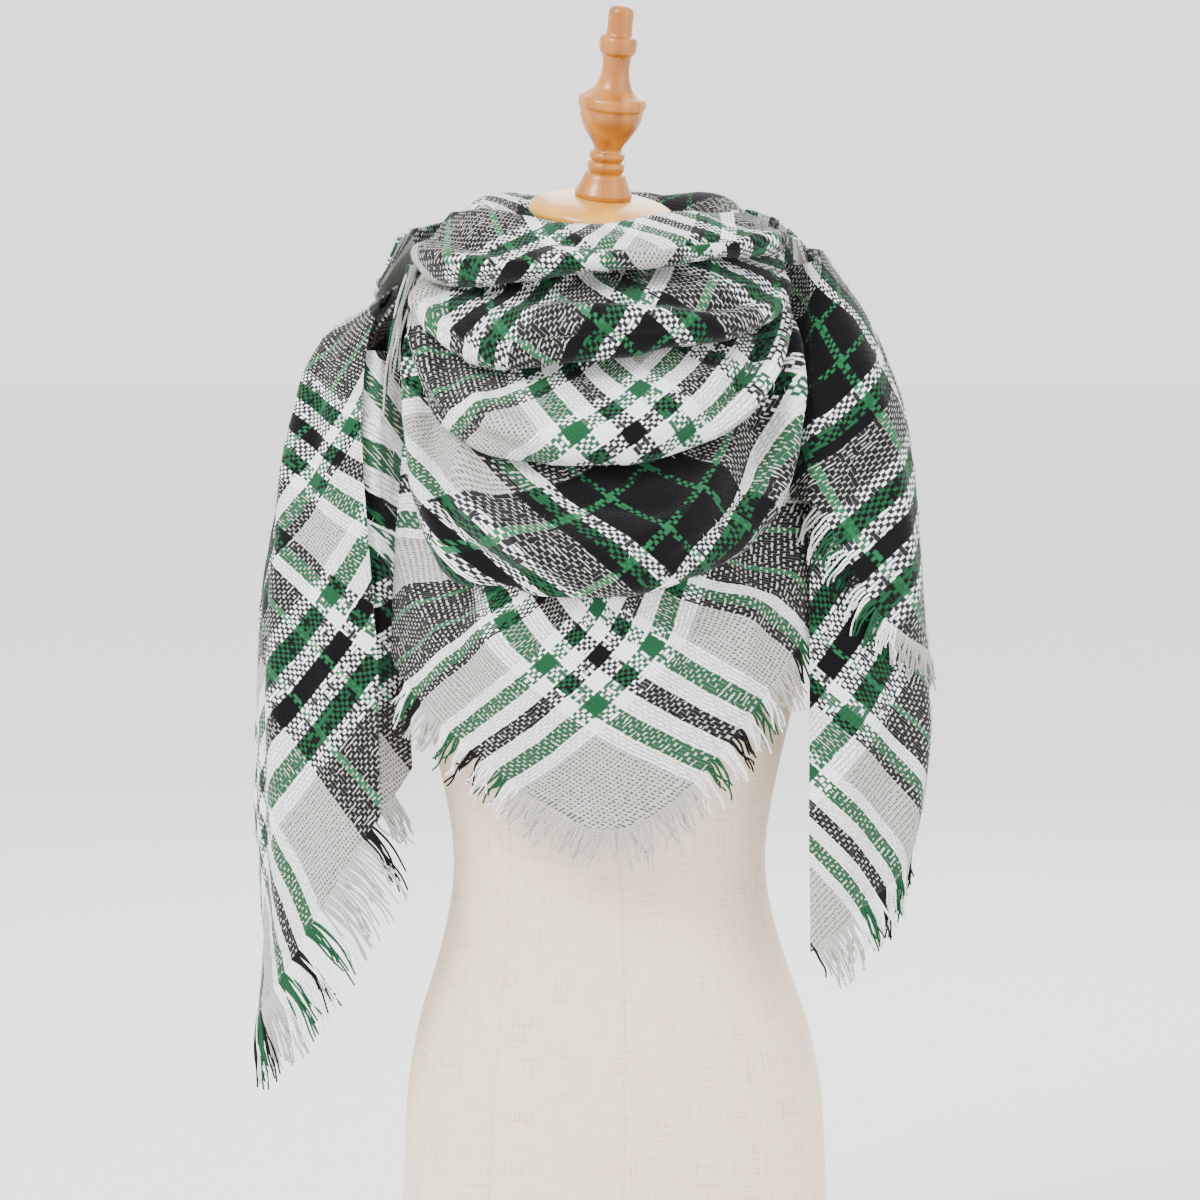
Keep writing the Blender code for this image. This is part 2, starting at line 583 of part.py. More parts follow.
def tail_plan(rows, z, around, inset):
    """The plan point of a hanging end at a level: around is 0 at its inner front edge,
    0.5 at its outer fold and 1 at its back edge."""
    inner_x, front_y, outer_x, mid_y, back_x, back_y = smooth(rows, z)
    side = math.copysign(1.0, outer_x)
    outer_x -= side * inset
    front_y += inset
    back_y -= inset
    if around < 0:
        return inner_x + side * around * INWARD, front_y
    if around < 0.5:
        angle = math.pi * around
        return (inner_x + (outer_x - inner_x) * powered(math.sin(angle), TAIL_POWER),
                mid_y + (front_y - mid_y) * powered(math.cos(angle), TAIL_POWER))
    angle = math.pi * (around - 0.5)
    return (back_x + (outer_x - back_x) * powered(math.cos(angle), TAIL_POWER),
            mid_y + (back_y - mid_y) * powered(math.sin(angle), TAIL_POWER))


def tail_surface(tail):
    """The surface of one ply of a hanging end."""
    first, last = tail["around"]

    def surface(across, down):
        around = first + (last - first) * across
        high = smooth(tail["high"], around)
        low = smooth(tail["low"], around)
        z = high + (low - high) * down
        x, y = tail_plan(tail["rows"], z, around, tail["inset"])
        return (x, y, z)

    return surface


def fringe_grid(surface, columns, row):
    """Points of a row of fringe.  It runs out from a stretch of a sheet's lower edge and
    hangs down, and has a column wherever the sheet has one."""
    start, end = row["along"]
    inner = [c / (columns - 1) for c in range(columns)]
    stops = [start] + [at for at in inner if start + EDGE_STEP < at < end - EDGE_STEP] + [end]
    pull = Vector((row["sway"], 0.0, -FRINGE_WEIGHT))
    grid = []
    for down in np.linspace(0, 1, FRINGE_ROWS):
        line = []
        for at in stops:
            edge = edge_point(surface, columns, at)
            along = edge_point(surface, columns, at + EDGE_STEP)
            along = (along - edge_point(surface, columns, at - EDGE_STEP)).normalized()
            outwards = edge - Vector(surface(at, 1.0 - EDGE_STEP))
            outwards = (outwards - along * outwards.dot(along)).normalized()
            heading = (outwards + pull * down).normalized()
            line.append(edge + outwards * 2 * SEAM + heading * row["length"] * down)
        grid.append(line)
    return np.array(grid)


def neck_strand_surface(across, down):
    """The loose yarns at the side of the neck."""
    x, y, z = smooth(NECK_STRANDS, down)
    side = NECK_STRANDS_WIDTH * (across - 0.5)
    return (x + 0.7 * side, y + 0.7 * side, z)


def build_scarf():
    """Every stretch of the scarf that shows, and the fringe on its woven edges."""
    sheets = {fold["name"]: (fold_surface(index), FOLD_GRID)
              for index, fold in enumerate(FOLDS)}
    sheets["scarf_back_collar"] = (collar_surface, WRAP_GRID)
    sheets.update({wrap["name"]: (wrap_surface(wrap), WRAP_GRID) for wrap in WRAPS})
    sheets["scarf_front_point"] = (point_surface, FOLD_GRID)
    sheets.update({tail["name"]: (tail_surface(tail), TAIL_GRID) for tail in TAILS})
    for name, (surface, (columns, rows)) in sheets.items():
        cloth_piece(name, sample_sheet(surface, columns, rows))
    for row in FRINGES:
        surface, (columns, _) = sheets[row["on"]]
        fringe_piece(row["name"], fringe_grid(surface, columns, row))
    fringe_piece("fringe_neck_corner", sample_sheet(neck_strand_surface, *NECK_STRANDS_GRID))


clear_scene()
build_torso()
build_stand()
build_scarf()
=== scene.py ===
"""The visible blanket scarf and dress form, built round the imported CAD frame.

The scarf is a brushed acrylic plaid square with fringed edges, wound round a linen covered
countertop dress form with turned beech fittings.  Metres, +Z up, the front faces -Y.
"""

import logging
import math
from dataclasses import dataclass
from enum import Enum
from typing import Callable, Sequence

import bmesh
import bpy
import numpy as np
from mathutils import Matrix, Vector


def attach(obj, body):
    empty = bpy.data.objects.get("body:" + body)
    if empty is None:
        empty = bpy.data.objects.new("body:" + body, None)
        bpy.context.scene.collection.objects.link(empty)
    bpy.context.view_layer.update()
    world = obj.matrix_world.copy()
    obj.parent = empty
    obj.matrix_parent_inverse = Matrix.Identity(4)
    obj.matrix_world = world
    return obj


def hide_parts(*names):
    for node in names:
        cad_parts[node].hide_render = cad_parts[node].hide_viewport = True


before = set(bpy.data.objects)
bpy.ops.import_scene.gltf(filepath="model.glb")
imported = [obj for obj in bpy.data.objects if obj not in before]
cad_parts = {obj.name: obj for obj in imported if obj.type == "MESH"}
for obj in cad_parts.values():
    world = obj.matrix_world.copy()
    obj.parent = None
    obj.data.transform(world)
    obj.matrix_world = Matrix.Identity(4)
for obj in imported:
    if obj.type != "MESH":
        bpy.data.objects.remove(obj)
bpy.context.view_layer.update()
LOG = logging.getLogger("scarf")
SEED = 20
BODY = "root"

Surface = Callable[[np.ndarray, np.ndarray], np.ndarray]


# ---- curves and grids --------------------------------------------------------------------
class Curve:
    """A smooth curve through the rows of a table: (key, value, ...)."""

    def __init__(self, rows: Sequence[Sequence[float]]) -> None:
        """Sorts the rows and finds the slope at each."""
        table = np.asarray(rows, dtype=float)
        table = table[np.argsort(table[:, 0])]
        self.keys = table[:, 0]
        self.values = table[:, 1:]
        self.slopes = np.gradient(self.values, self.keys, axis=0)

    def __call__(self, at: np.ndarray) -> np.ndarray:
        """Reads the curve.

        Args:
            at: keys, of any shape.

        Returns:
            The values, in the shape of at, with one more axis if a row has several values.
        """
        at = np.clip(np.asarray(at, dtype=float), self.keys[0], self.keys[-1])
        i = np.clip(np.searchsorted(self.keys, at) - 1, 0, len(self.keys) - 2)
        width = self.keys[i + 1] - self.keys[i]
        s = (at - self.keys[i]) / width
        s, width = s[..., None], width[..., None]
        result = (1 + 2 * s) * (1 - s) ** 2 * self.values[i]
        result = result + s * (1 - s) ** 2 * width * self.slopes[i]
        result = result + s * s * (3 - 2 * s) * self.values[i + 1]
        result = result + s * s * (s - 1) * width * self.slopes[i + 1]
        return result[..., 0] if self.values.shape[1] == 1 else result


def read_rows(rows: np.ndarray, down: np.ndarray) -> np.ndarray:
    """Reads evenly spaced rows of values that differ from point to point.

    Args:
        rows: the values, with the rows on the first axis and the points on the others.
        down: where to read each point, from 0 at the first row to 1 at the last.

    Returns:
        One value for each point, on a smooth curve through its own rows.
    """
    last = len(rows) - 1
    slopes = np.gradient(rows, axis=0)
    place = np.clip(down, 0, 1) * last
    i = np.minimum(place.astype(int), last - 1)
    s = place - i

    def pick(table: np.ndarray, row: np.ndarray) -> np.ndarray:
        """Each point's own row."""
        return np.take_along_axis(table, row[None], axis=0)[0]

    result = (1 + 2 * s) * (1 - s) ** 2 * pick(rows, i) + s * (1 - s) ** 2 * pick(slopes, i)
    result = result + s * s * (3 - 2 * s) * pick(rows, i + 1)
    return result + s * s * (s - 1) * pick(slopes, i + 1)


def eased(value: np.ndarray) -> np.ndarray:
    """A smooth step from 0 to 1."""
    value = np.clip(value, 0.0, 1.0)
    return value * value * (3 - 2 * value)


def powered(value: np.ndarray, power: float) -> np.ndarray:
    """A sine or cosine raised to a power with its sign kept."""
    return np.sign(value) * np.abs(value) ** power


def grid_normals(grid: np.ndarray) -> np.ndarray:
    """Unit normals of a grid of points."""
    normal = np.cross(np.gradient(grid, axis=1), np.gradient(grid, axis=0))
    return normal / np.maximum(np.linalg.norm(normal, axis=2, keepdims=True), 1e-12)


def running_length(grid: np.ndarray, axis: int) -> np.ndarray:
    """Distance along a grid's lines from their first points, in metres.

    Args:
        grid: rows, columns, 3.
        axis: 0 to run down the columns, 1 along the rows.

    Returns:
        The distance at each point.
    """
    steps = np.linalg.norm(np.diff(grid, axis=axis), axis=2)
    total = np.cumsum(steps, axis=axis)
    pad = [(0, 0), (0, 0)]
    pad[axis] = (1, 0)
    return np.pad(total, pad)


# ---- materials ---------------------------------------------------------------------------
def srgb(text: str) -> tuple[float, float, float, float]:
    """A #RRGGBB colour as linear red, green, blue and alpha."""
    parts = [int(text[i:i + 2], 16) / 255 for i in (1, 3, 5)]
    linear = [c / 12.92 if c <= 0.04045 else ((c + 0.055) / 1.055) ** 2.4 for c in parts]
    return (*linear, 1.0)


def add_node(tree: bpy.types.NodeTree, kind: str, inputs: dict | None = None,
             **settings: object) -> bpy.types.Node:
    """Adds one node.

    Args:
        tree: the material's node tree.
        kind: the node's type name.
        inputs: socket name or number to a constant, or to the socket that feeds it.
        settings: the node's own settings.

    Returns:
        The new node.
    """
    node = tree.nodes.new(kind)
    for key, value in settings.items():
        setattr(node, key, value)
    for key, value in (inputs or {}).items():
        if isinstance(value, bpy.types.NodeSocket):
            tree.links.new(value, node.inputs[key])
        else:
            node.inputs[key].default_value = value
    return node


def math_node(tree: bpy.types.NodeTree, operation: str, *values: object
              ) -> bpy.types.NodeSocket:
    """Adds a Math node on up to three values and returns its result."""
    return add_node(tree, "ShaderNodeMath", dict(enumerate(values)),
                    operation=operation).outputs[0]


def vector_node(tree: bpy.types.NodeTree, operation: str, first: object,
                second: object = None) -> bpy.types.NodeSocket:
    """Adds a Vector Math node and returns its result; SCALE takes a number as its second."""
    inputs = {0: first}
    if second is not None:
        inputs["Scale" if operation == "SCALE" else 1] = second
    return add_node(tree, "ShaderNodeVectorMath", inputs, operation=operation).outputs[0]


def mix_colours(tree: bpy.types.NodeTree, share: object, first: object,
                second: object) -> bpy.types.NodeSocket:
    """Adds a Mix node for colours and returns its result."""
    return add_node(tree, "ShaderNodeMix", {0: share, 6: first, 7: second},
                    data_type="RGBA").outputs[2]


def mix_numbers(tree: bpy.types.NodeTree, share: object, first: object,
                second: object) -> bpy.types.NodeSocket:
    """Adds a Mix node for numbers and returns its result."""
    return add_node(tree, "ShaderNodeMix", {0: share, 2: first, 3: second},
                    data_type="FLOAT").outputs[0]


def noise_node(tree: bpy.types.NodeTree, place: bpy.types.NodeSocket, scale: float,
               detail: float, **inputs: float) -> bpy.types.Node:
    """Adds a smooth noise read at a place."""
    return add_node(tree, "ShaderNodeTexNoise",
                    {"Vector": place, "Scale": scale, "Detail": detail, **inputs})


def two_tone(tree: bpy.types.NodeTree, share: bpy.types.NodeSocket, dark: tuple[float, str],
             light: tuple[float, str]) -> bpy.types.NodeSocket:
    """Adds a ramp between two colours, each a place on the ramp and its hex value."""
    ramp = add_node(tree, "ShaderNodeValToRGB", {"Fac": share})
    for stop, (position, colour) in zip(ramp.color_ramp.elements, (dark, light)):
        stop.color = srgb(colour)
        stop.position = position
    return ramp.outputs[0]


def finish(tree: bpy.types.NodeTree, shader: bpy.types.Node, colour: bpy.types.NodeSocket,
           bump: tuple[bpy.types.NodeSocket, float, float], **values: float) -> None:
    """Feeds a shader.

    Args:
        tree: the material's node tree.
        shader: its Principled shader.
        colour: its base colour.
        bump: the height, and the strength and distance in metres of its bump.
        values: constants, each named for its socket with underscores for spaces.
    """
    tree.links.new(colour, shader.inputs["Base Color"])
    height, strength, distance = bump
    relief = add_node(tree, "ShaderNodeBump",
                      {"Height": height, "Strength": strength, "Distance": distance})
    tree.links.new(relief.outputs[0], shader.inputs["Normal"])
    for name, value in values.items():
        shader.inputs[name.replace("_", " ")].default_value = value


def new_material(name: str) -> tuple[bpy.types.Material, bpy.types.NodeTree, bpy.types.Node]:
    """An empty material with its output linked to a Principled shader."""
    material = bpy.data.materials.new(name)
    material.use_nodes = True
    tree = material.node_tree
    tree.nodes.clear()
    shader = add_node(tree, "ShaderNodeBsdfPrincipled")
    add_node(tree, "ShaderNodeOutputMaterial", {"Surface": shader.outputs["BSDF"]})
    return material, tree, shader


class Yarn(Enum):
    """The plaid's yarns: colour, and how open the weave is where it crosses its own kind."""

    BLACK = ("#050407", 0.0)
    GREEN = ("#174A2E", 0.0)
    BRIGHT_GREEN = ("#1C5A38", 0.0)
    WHITE = ("#F1F3F6", 0.35)
    GREY = ("#B3B2AD", 1.0)

    @property
    def colour(self) -> tuple[float, float, float, float]:
        """Linear colour, with the openness as alpha."""
        return (*srgb(self.value[0])[:3], self.value[1])


THREAD = 0.00275         # spacing of the threads, the same both ways
EDGE_THREADS = 22        # the grey band at a woven edge, before the first white stripe
GROUP = ((4, Yarn.WHITE), (5, Yarn.GREEN), (5, Yarn.WHITE), (5, Yarn.BLACK), (5, Yarn.WHITE),
         (5, Yarn.GREEN), (4, Yarn.WHITE))
SIDE = ((13, Yarn.GREY), (3, Yarn.BLACK), (4, Yarn.GREEN), (4, Yarn.WHITE))
BLOCK = ((8, Yarn.BLACK), (2, Yarn.BRIGHT_GREEN), (14, Yarn.BLACK), (2, Yarn.BRIGHT_GREEN),
         (8, Yarn.BLACK))
SETT = ((EDGE_THREADS, Yarn.GREY),) + GROUP + SIDE + BLOCK
REPEAT = sum(count for count, _ in SETT)


def sett_colour(tree: bpy.types.NodeTree, thread: bpy.types.NodeSocket) -> bpy.types.Node:
    """Adds the nodes that turn a thread's number into its yarn's colour.

    Args:
        tree: the material's node tree.
        thread: the socket that carries the number.

    Returns:
        The ramp, with the colour first and the yarn's openness as its alpha.
    """
    wrapped = math_node(tree, "FLOORED_MODULO", math_node(tree, "ADD", thread, 0.5),
                        float(REPEAT))
    share = math_node(tree, "DIVIDE", wrapped, float(REPEAT))
    ramp = add_node(tree, "ShaderNodeValToRGB", {"Fac": share})
    stops = ramp.color_ramp
    stops.interpolation = "CONSTANT"
    stops.elements.remove(stops.elements[1])
    start = 0
    for k, (count, yarn) in enumerate(SETT):
        stop = stops.elements[0] if k == 0 else stops.elements.new(start / REPEAT)
        stop.color = yarn.colour
        start += count
    return ramp


@dataclass(frozen=True)
class BrushedPlaid:
    """Brushed acrylic in a loose plain weave: a soft, hairy, matt surface on which single
    thread floats show as dashes wherever two colours cross."""

    roughness: float = 0.95
    sheen: float = 0.10
    wander: float = 0.0013       # how far the loose threads stray, in metres
    stray_scale: float = 330.0   # one stray about every 3 mm
    float_irregularity: float = 0.90
    nap: float = 0.04            # share of the crossing colour that the nap drags over
    thinness: float = 0.30       # how much narrower an open yarn's float is

    def build(self) -> bpy.types.Material:
        """Makes the material."""
        material, tree, shader = new_material("brushed acrylic plaid")
        place = add_node(tree, "ShaderNodeUVMap", uv_map="cloth").outputs[0]
        stray = noise_node(tree, place, self.stray_scale, 2.0).outputs["Color"]
        centred = vector_node(tree, "SUBTRACT", stray, (0.5, 0.5, 0.5))
        moved = vector_node(tree, "ADD", place,
                            vector_node(tree, "SCALE", centred, self.wander * 2))
        threads = vector_node(tree, "SCALE", moved, 1 / THREAD)
        number = vector_node(tree, "FLOOR", threads)
        count = add_node(tree, "ShaderNodeSeparateXYZ", {0: number}).outputs
        part = add_node(tree, "ShaderNodeSeparateXYZ",
                        {0: vector_node(tree, "FRACTION", threads)}).outputs
        warp = sett_colour(tree, count[0]).outputs
        weft = sett_colour(tree, count[1]).outputs

        # Which way lies on top: plain weave, with a few floats out of turn.
        over = math_node(tree, "FLOORED_MODULO", math_node(tree, "ADD", count[0], count[1]), 2.0)
        chance = add_node(tree, "ShaderNodeTexWhiteNoise", {"Vector": number},
                          noise_dimensions="2D")
        odd = math_node(tree, "GREATER_THAN", chance.outputs["Value"], self.float_irregularity)
        top = math_node(tree, "ABSOLUTE", math_node(tree, "SUBTRACT", over, odd))

        # An open yarn's float is narrower, so the lower yarn shows beside it.
        off_middle = [math_node(tree, "ABSOLUTE", math_node(tree, "SUBTRACT", part[axis], 0.5))
                      for axis in (0, 1)]
        across = mix_numbers(tree, top, off_middle[0], off_middle[1])
        edge = math_node(tree, "POWER", across, 2.2)
        openness = mix_numbers(tree, top, warp[1], weft[1])
        half_width = math_node(tree, "MULTIPLY_ADD", openness, -self.thinness, 0.47)
        beside = math_node(tree, "GREATER_THAN", across, half_width)
        bared = mix_colours(tree, beside, mix_colours(tree, top, warp[0], weft[0]),
                            mix_colours(tree, top, weft[0], warp[0]))
        drag = noise_node(tree, place, 160.0, 3.0).outputs["Fac"]
        napped = mix_colours(tree, math_node(tree, "MULTIPLY", drag, self.nap * 2), bared,
                             mix_colours(tree, 0.5, warp[0], weft[0]))
        # Painted shade: each float darkens towards its edges, where it dips under the crossing
        # yarn, and gets a touch of painted light along its middle to keep the average.
        shaded = vector_node(tree, "SCALE", napped,
                             math_node(tree, "MULTIPLY_ADD", edge, -1.5, 1.05))

        # Painted shade in the holes at the corners where two open yarns cross: a dark grey stands
        # in for the shade seen through them.
        corners = [math_node(tree, "GREATER_THAN", off, 0.24) for off in off_middle]
        hole_shade = math_node(tree, "MULTIPLY", math_node(tree, "MULTIPLY", *corners),
                        math_node(tree, "MULTIPLY", warp[1], weft[1]))
        colour = mix_colours(tree, math_node(tree, "MULTIPLY", hole_shade, 0.85), shaded,
                             srgb("#3F3D3C"))
        hairs = noise_node(tree, place, 900.0, 3.0).outputs["Fac"]
        height = math_node(tree, "MULTIPLY_ADD", edge, -3.0, hairs)
        finish(tree, shader, colour, (height, 0.55, 0.0007), Roughness=self.roughness,
               Specular_IOR_Level=0.15, Sheen_Weight=self.sheen, Sheen_Roughness=0.45)
        return material


@dataclass(frozen=True)
class FringeYarn:
    """Loose plied acrylic yarn, the plaid's own threads with nothing woven across them:
    matt and fuzzy, with the ply's twist showing as a fine slant in its bump and as painted
    light and shade."""

    roughness: float = 0.95
    sheen: float = 0.10

    def build(self) -> bpy.types.Material:
        """Makes the material."""
        material, tree, shader = new_material("plied acrylic yarn")
        place = add_node(tree, "ShaderNodeUVMap", uv_map="cloth").outputs[0]
        apart = add_node(tree, "ShaderNodeSeparateXYZ", {0: place})
        number = math_node(tree, "FLOOR", math_node(tree, "DIVIDE", apart.outputs[0], THREAD))
        twist = add_node(tree, "ShaderNodeTexWave",
                         {"Vector": place, "Scale": 110.0, "Distortion": 1.5},
                         bands_direction="Y").outputs["Fac"]
        # Painted light and shade along the ply's twist: lighter on its crests, darker in its
        # grooves.
        shaded = vector_node(tree, "SCALE", sett_colour(tree, number).outputs[0],
                             math_node(tree, "MULTIPLY_ADD", twist, 0.30, 0.78))
        finish(tree, shader, shaded, (twist, 0.5, 0.0004), Roughness=self.roughness,
               Specular_IOR_Level=0.15, Sheen_Weight=self.sheen)
        return material


@dataclass(frozen=True)
class StretchedLinen:
    """Natural linen canvas stretched over the form: pale, matt, with thick and thin yarns
    that show as faint upright and level lines."""

    pitch: float = 0.0012        # twice the real yarn spacing, so that it shows
    colour: str = "#EFDAC2"
    dark: str = "#CDB597"
    roughness: float = 0.88
    wrap_radius: float = 0.14    # turns the angle round the form into metres

    def build(self) -> bpy.types.Material:
        """Makes the material."""
        material, tree, shader = new_material("stretched linen canvas")
        place = add_node(tree, "ShaderNodeTexCoord").outputs["Object"]
        x, y, z = add_node(tree, "ShaderNodeSeparateXYZ", {0: place}).outputs
        turn = math_node(tree, "MULTIPLY", math_node(tree, "ARCTAN2", x, y), self.wrap_radius)
        flat = add_node(tree, "ShaderNodeCombineXYZ", {0: turn, 1: z}).outputs[0]
        yarns = [noise_node(tree, vector_node(tree, "MULTIPLY", flat, stretch), 1 / self.pitch,
                            2.0).outputs["Fac"]
                 for stretch in ((1.0, 0.035, 1.0), (0.035, 1.0, 1.0))]
        weave = math_node(tree, "ADD", *yarns)
        share = add_node(tree, "ShaderNodeMapRange",
                         {"Value": weave, "From Min": 0.75, "From Max": 1.25}).outputs[0]
        patches = noise_node(tree, place, 9.0, 2.0).outputs["Fac"]
        blend = math_node(tree, "MULTIPLY_ADD", patches, 0.25, share)
        colour = two_tone(tree, blend, (0.0, self.dark), (0.55, self.colour))
        finish(tree, shader, colour, (weave, 0.25, 0.0003), Roughness=self.roughness,
               Specular_IOR_Level=0.2, Sheen_Weight=0.1)
        return material


@dataclass(frozen=True)
class VarnishedBeech:
    """Lathe turned beech under clear varnish: warm, with long grain, short dark flecks and
    a soft gloss."""

    name: str = "varnished beech"
    light: str = "#C67C12"
    dark: str = "#8F4E05"
    fleck: str = "#74400C"
    grain: tuple[float, float, float] = (60.0, 60.0, 5.0)

    def build(self) -> bpy.types.Material:
        """Makes the material."""
        material, tree, shader = new_material(self.name)
        place = add_node(tree, "ShaderNodeTexCoord").outputs["Object"]
        rings = noise_node(tree, vector_node(tree, "MULTIPLY", place, self.grain), 1.0, 5.0,
                           Distortion=0.9)
        wood = two_tone(tree, rings.outputs["Fac"], (0.30, self.dark), (0.66, self.light))
        flecks = noise_node(tree, vector_node(tree, "MULTIPLY", place, (900.0, 900.0, 130.0)),
                            1.0, 1.0).outputs["Fac"]
        share = add_node(tree, "ShaderNodeMapRange",
                         {"Value": flecks, "From Min": 0.62, "From Max": 0.74, "To Max": 0.5})
        wood = mix_colours(tree, share.outputs[0], wood, srgb(self.fleck))
        finish(tree, shader, wood, (flecks, 0.08, 0.0003), Roughness=0.38, Coat_Weight=0.3,
               Coat_Roughness=0.12)
        return material


@dataclass(frozen=True)
class PaleFloor:
    """Matt white studio floor."""

    colour: str = "#F4F3F1"

    def build(self) -> bpy.types.Material:
        """Makes the material."""
        material, tree, shader = new_material("matt white floor")
        shader.inputs["Base Color"].default_value = srgb(self.colour)
        shader.inputs["Roughness"].default_value = 0.9
        return material


# ---- the studio ---------------------------------------------------------------------------
@dataclass
class Studio:
    """Floor, soft lights and the camera."""

    target: tuple[float, float, float] = (-0.010, 0.0, 0.6415)
    distance: float = 3.2
    elevation: float = math.radians(4.5)
    frame_width: float = 0.923
    floor_size: float = 60.0
    world_light: float = 1.95
    lights: tuple = (
        ("key", (-2.0, -2.2, 3.0), 1.3, 190.0),
        ("fill", (2.6, -1.6, 1.4), 2.0, 34.0),
        ("back", (0.6, 2.6, 2.4), 2.0, 60.0),
    )

    def build(self) -> None:
        """Makes the camera, lights, world and floor."""
        self.add_camera()
        self.add_lights()
        self.add_floor()

    def add_camera(self) -> None:
        """A long lens in front of the object, a little above its middle."""
        data = bpy.data.cameras.new("camera")
        data.angle = 2 * math.atan(self.frame_width / 2 / self.distance)
        camera = bpy.data.objects.new("camera", data)
        bpy.context.scene.collection.objects.link(camera)
        target = Vector(self.target)
        offset = Vector((0, -math.cos(self.elevation), math.sin(self.elevation)))
        camera.location = target + offset * self.distance
        camera.rotation_euler = (-offset).to_track_quat("-Z", "Y").to_euler()
        bpy.context.scene.camera = camera

    def add_lights(self) -> None:
        """Large soft lamps round the object and an even white surround."""
        for name, place, size, power in self.lights:
            data = bpy.data.lights.new(name, "AREA")
            data.size = size
            data.energy = power
            lamp = bpy.data.objects.new(name, data)
            bpy.context.scene.collection.objects.link(lamp)
            lamp.location = place
            aim = Vector(self.target) - Vector(place)
            lamp.rotation_euler = aim.to_track_quat("-Z", "Y").to_euler()
        world = bpy.data.worlds.new("studio")
        world.use_nodes = True
        background = world.node_tree.nodes["Background"]
        background.inputs["Color"].default_value = (1.0, 1.0, 1.0, 1.0)
        background.inputs["Strength"].default_value = self.world_light
        bpy.context.scene.world = world

    def add_floor(self) -> None:
        """A wide plain floor."""
        bpy.ops.object.select_all(action="DESELECT")
        bpy.ops.mesh.primitive_plane_add(size=self.floor_size, location=(0, 0, 0))
        floor = bpy.context.active_object
        floor.name = "floor"
        floor.data.materials.append(PaleFloor().build())


# ---- the dress form -----------------------------------------------------------------------
def declare(piece: bpy.types.Object, node: str | None = None) -> None:
    """Makes a piece ride on the body, and hides the CAD node that it stands for."""
    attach(piece, BODY)
    if node:
        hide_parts(node)


def start_from(name: str) -> None:
    """Deselects everything and names the piece that comes next in the log."""
    if bpy.context.mode != "OBJECT":
        bpy.ops.object.mode_set(mode="OBJECT")
    bpy.ops.object.select_all(action="DESELECT")
    LOG.info("making %s", name)


def turn_on_lathe(name: str, profile: Sequence[tuple[float, float]], segments: int,
                  place: Matrix, material: bpy.types.Material) -> bpy.types.Object:
    """A turned piece, extruded and scaled row by row from a disc.

    Args:
        name: the piece's name.
        profile: height and radius of each row, from the bottom up.
        segments: facets round it.
        place: from the lathe's axis to where the piece stands.
        material: its finish.

    Returns:
        The finished object.
    """
    start_from(name)
    height, radius = profile[0]
    bpy.ops.mesh.primitive_circle_add(vertices=segments, radius=radius, fill_type="NGON",
                                      location=(0, 0, height))
    piece = bpy.context.active_object
    piece.name = name
    bpy.ops.object.transform_apply(location=True, rotation=True, scale=True)
    bpy.ops.object.mode_set(mode="EDIT")
    bpy.ops.mesh.select_mode(type="FACE")
    bpy.ops.mesh.select_all(action="SELECT")
    for next_height, next_radius in profile[1:]:
        bpy.ops.mesh.extrude_region_move(
            TRANSFORM_OT_translate={"value": (0, 0, next_height - height)})
        scale = next_radius / radius
        bpy.ops.transform.resize(value=(scale, scale, 1), center_override=(0, 0, next_height))
        height, radius = next_height, next_radius
    bpy.ops.mesh.select_all(action="SELECT")
    bpy.ops.mesh.normals_make_consistent(inside=False)
    bpy.ops.object.mode_set(mode="OBJECT")
    bpy.ops.object.shade_smooth_by_angle(angle=math.radians(50))
    piece.data.transform(place)
    piece.data.materials.append(material)
    return piece


def finer(profile: Sequence[tuple[float, float]], steps: int) -> list[tuple[float, float]]:
    """A turned profile with rounded rows between its own."""
    rows = [(k, height, radius) for k, (height, radius) in enumerate(profile)]
    at = np.linspace(0, len(profile) - 1, (len(profile) - 1) * steps + 1)
    return [(float(h), float(r)) for h, r in Curve(rows)(at)]


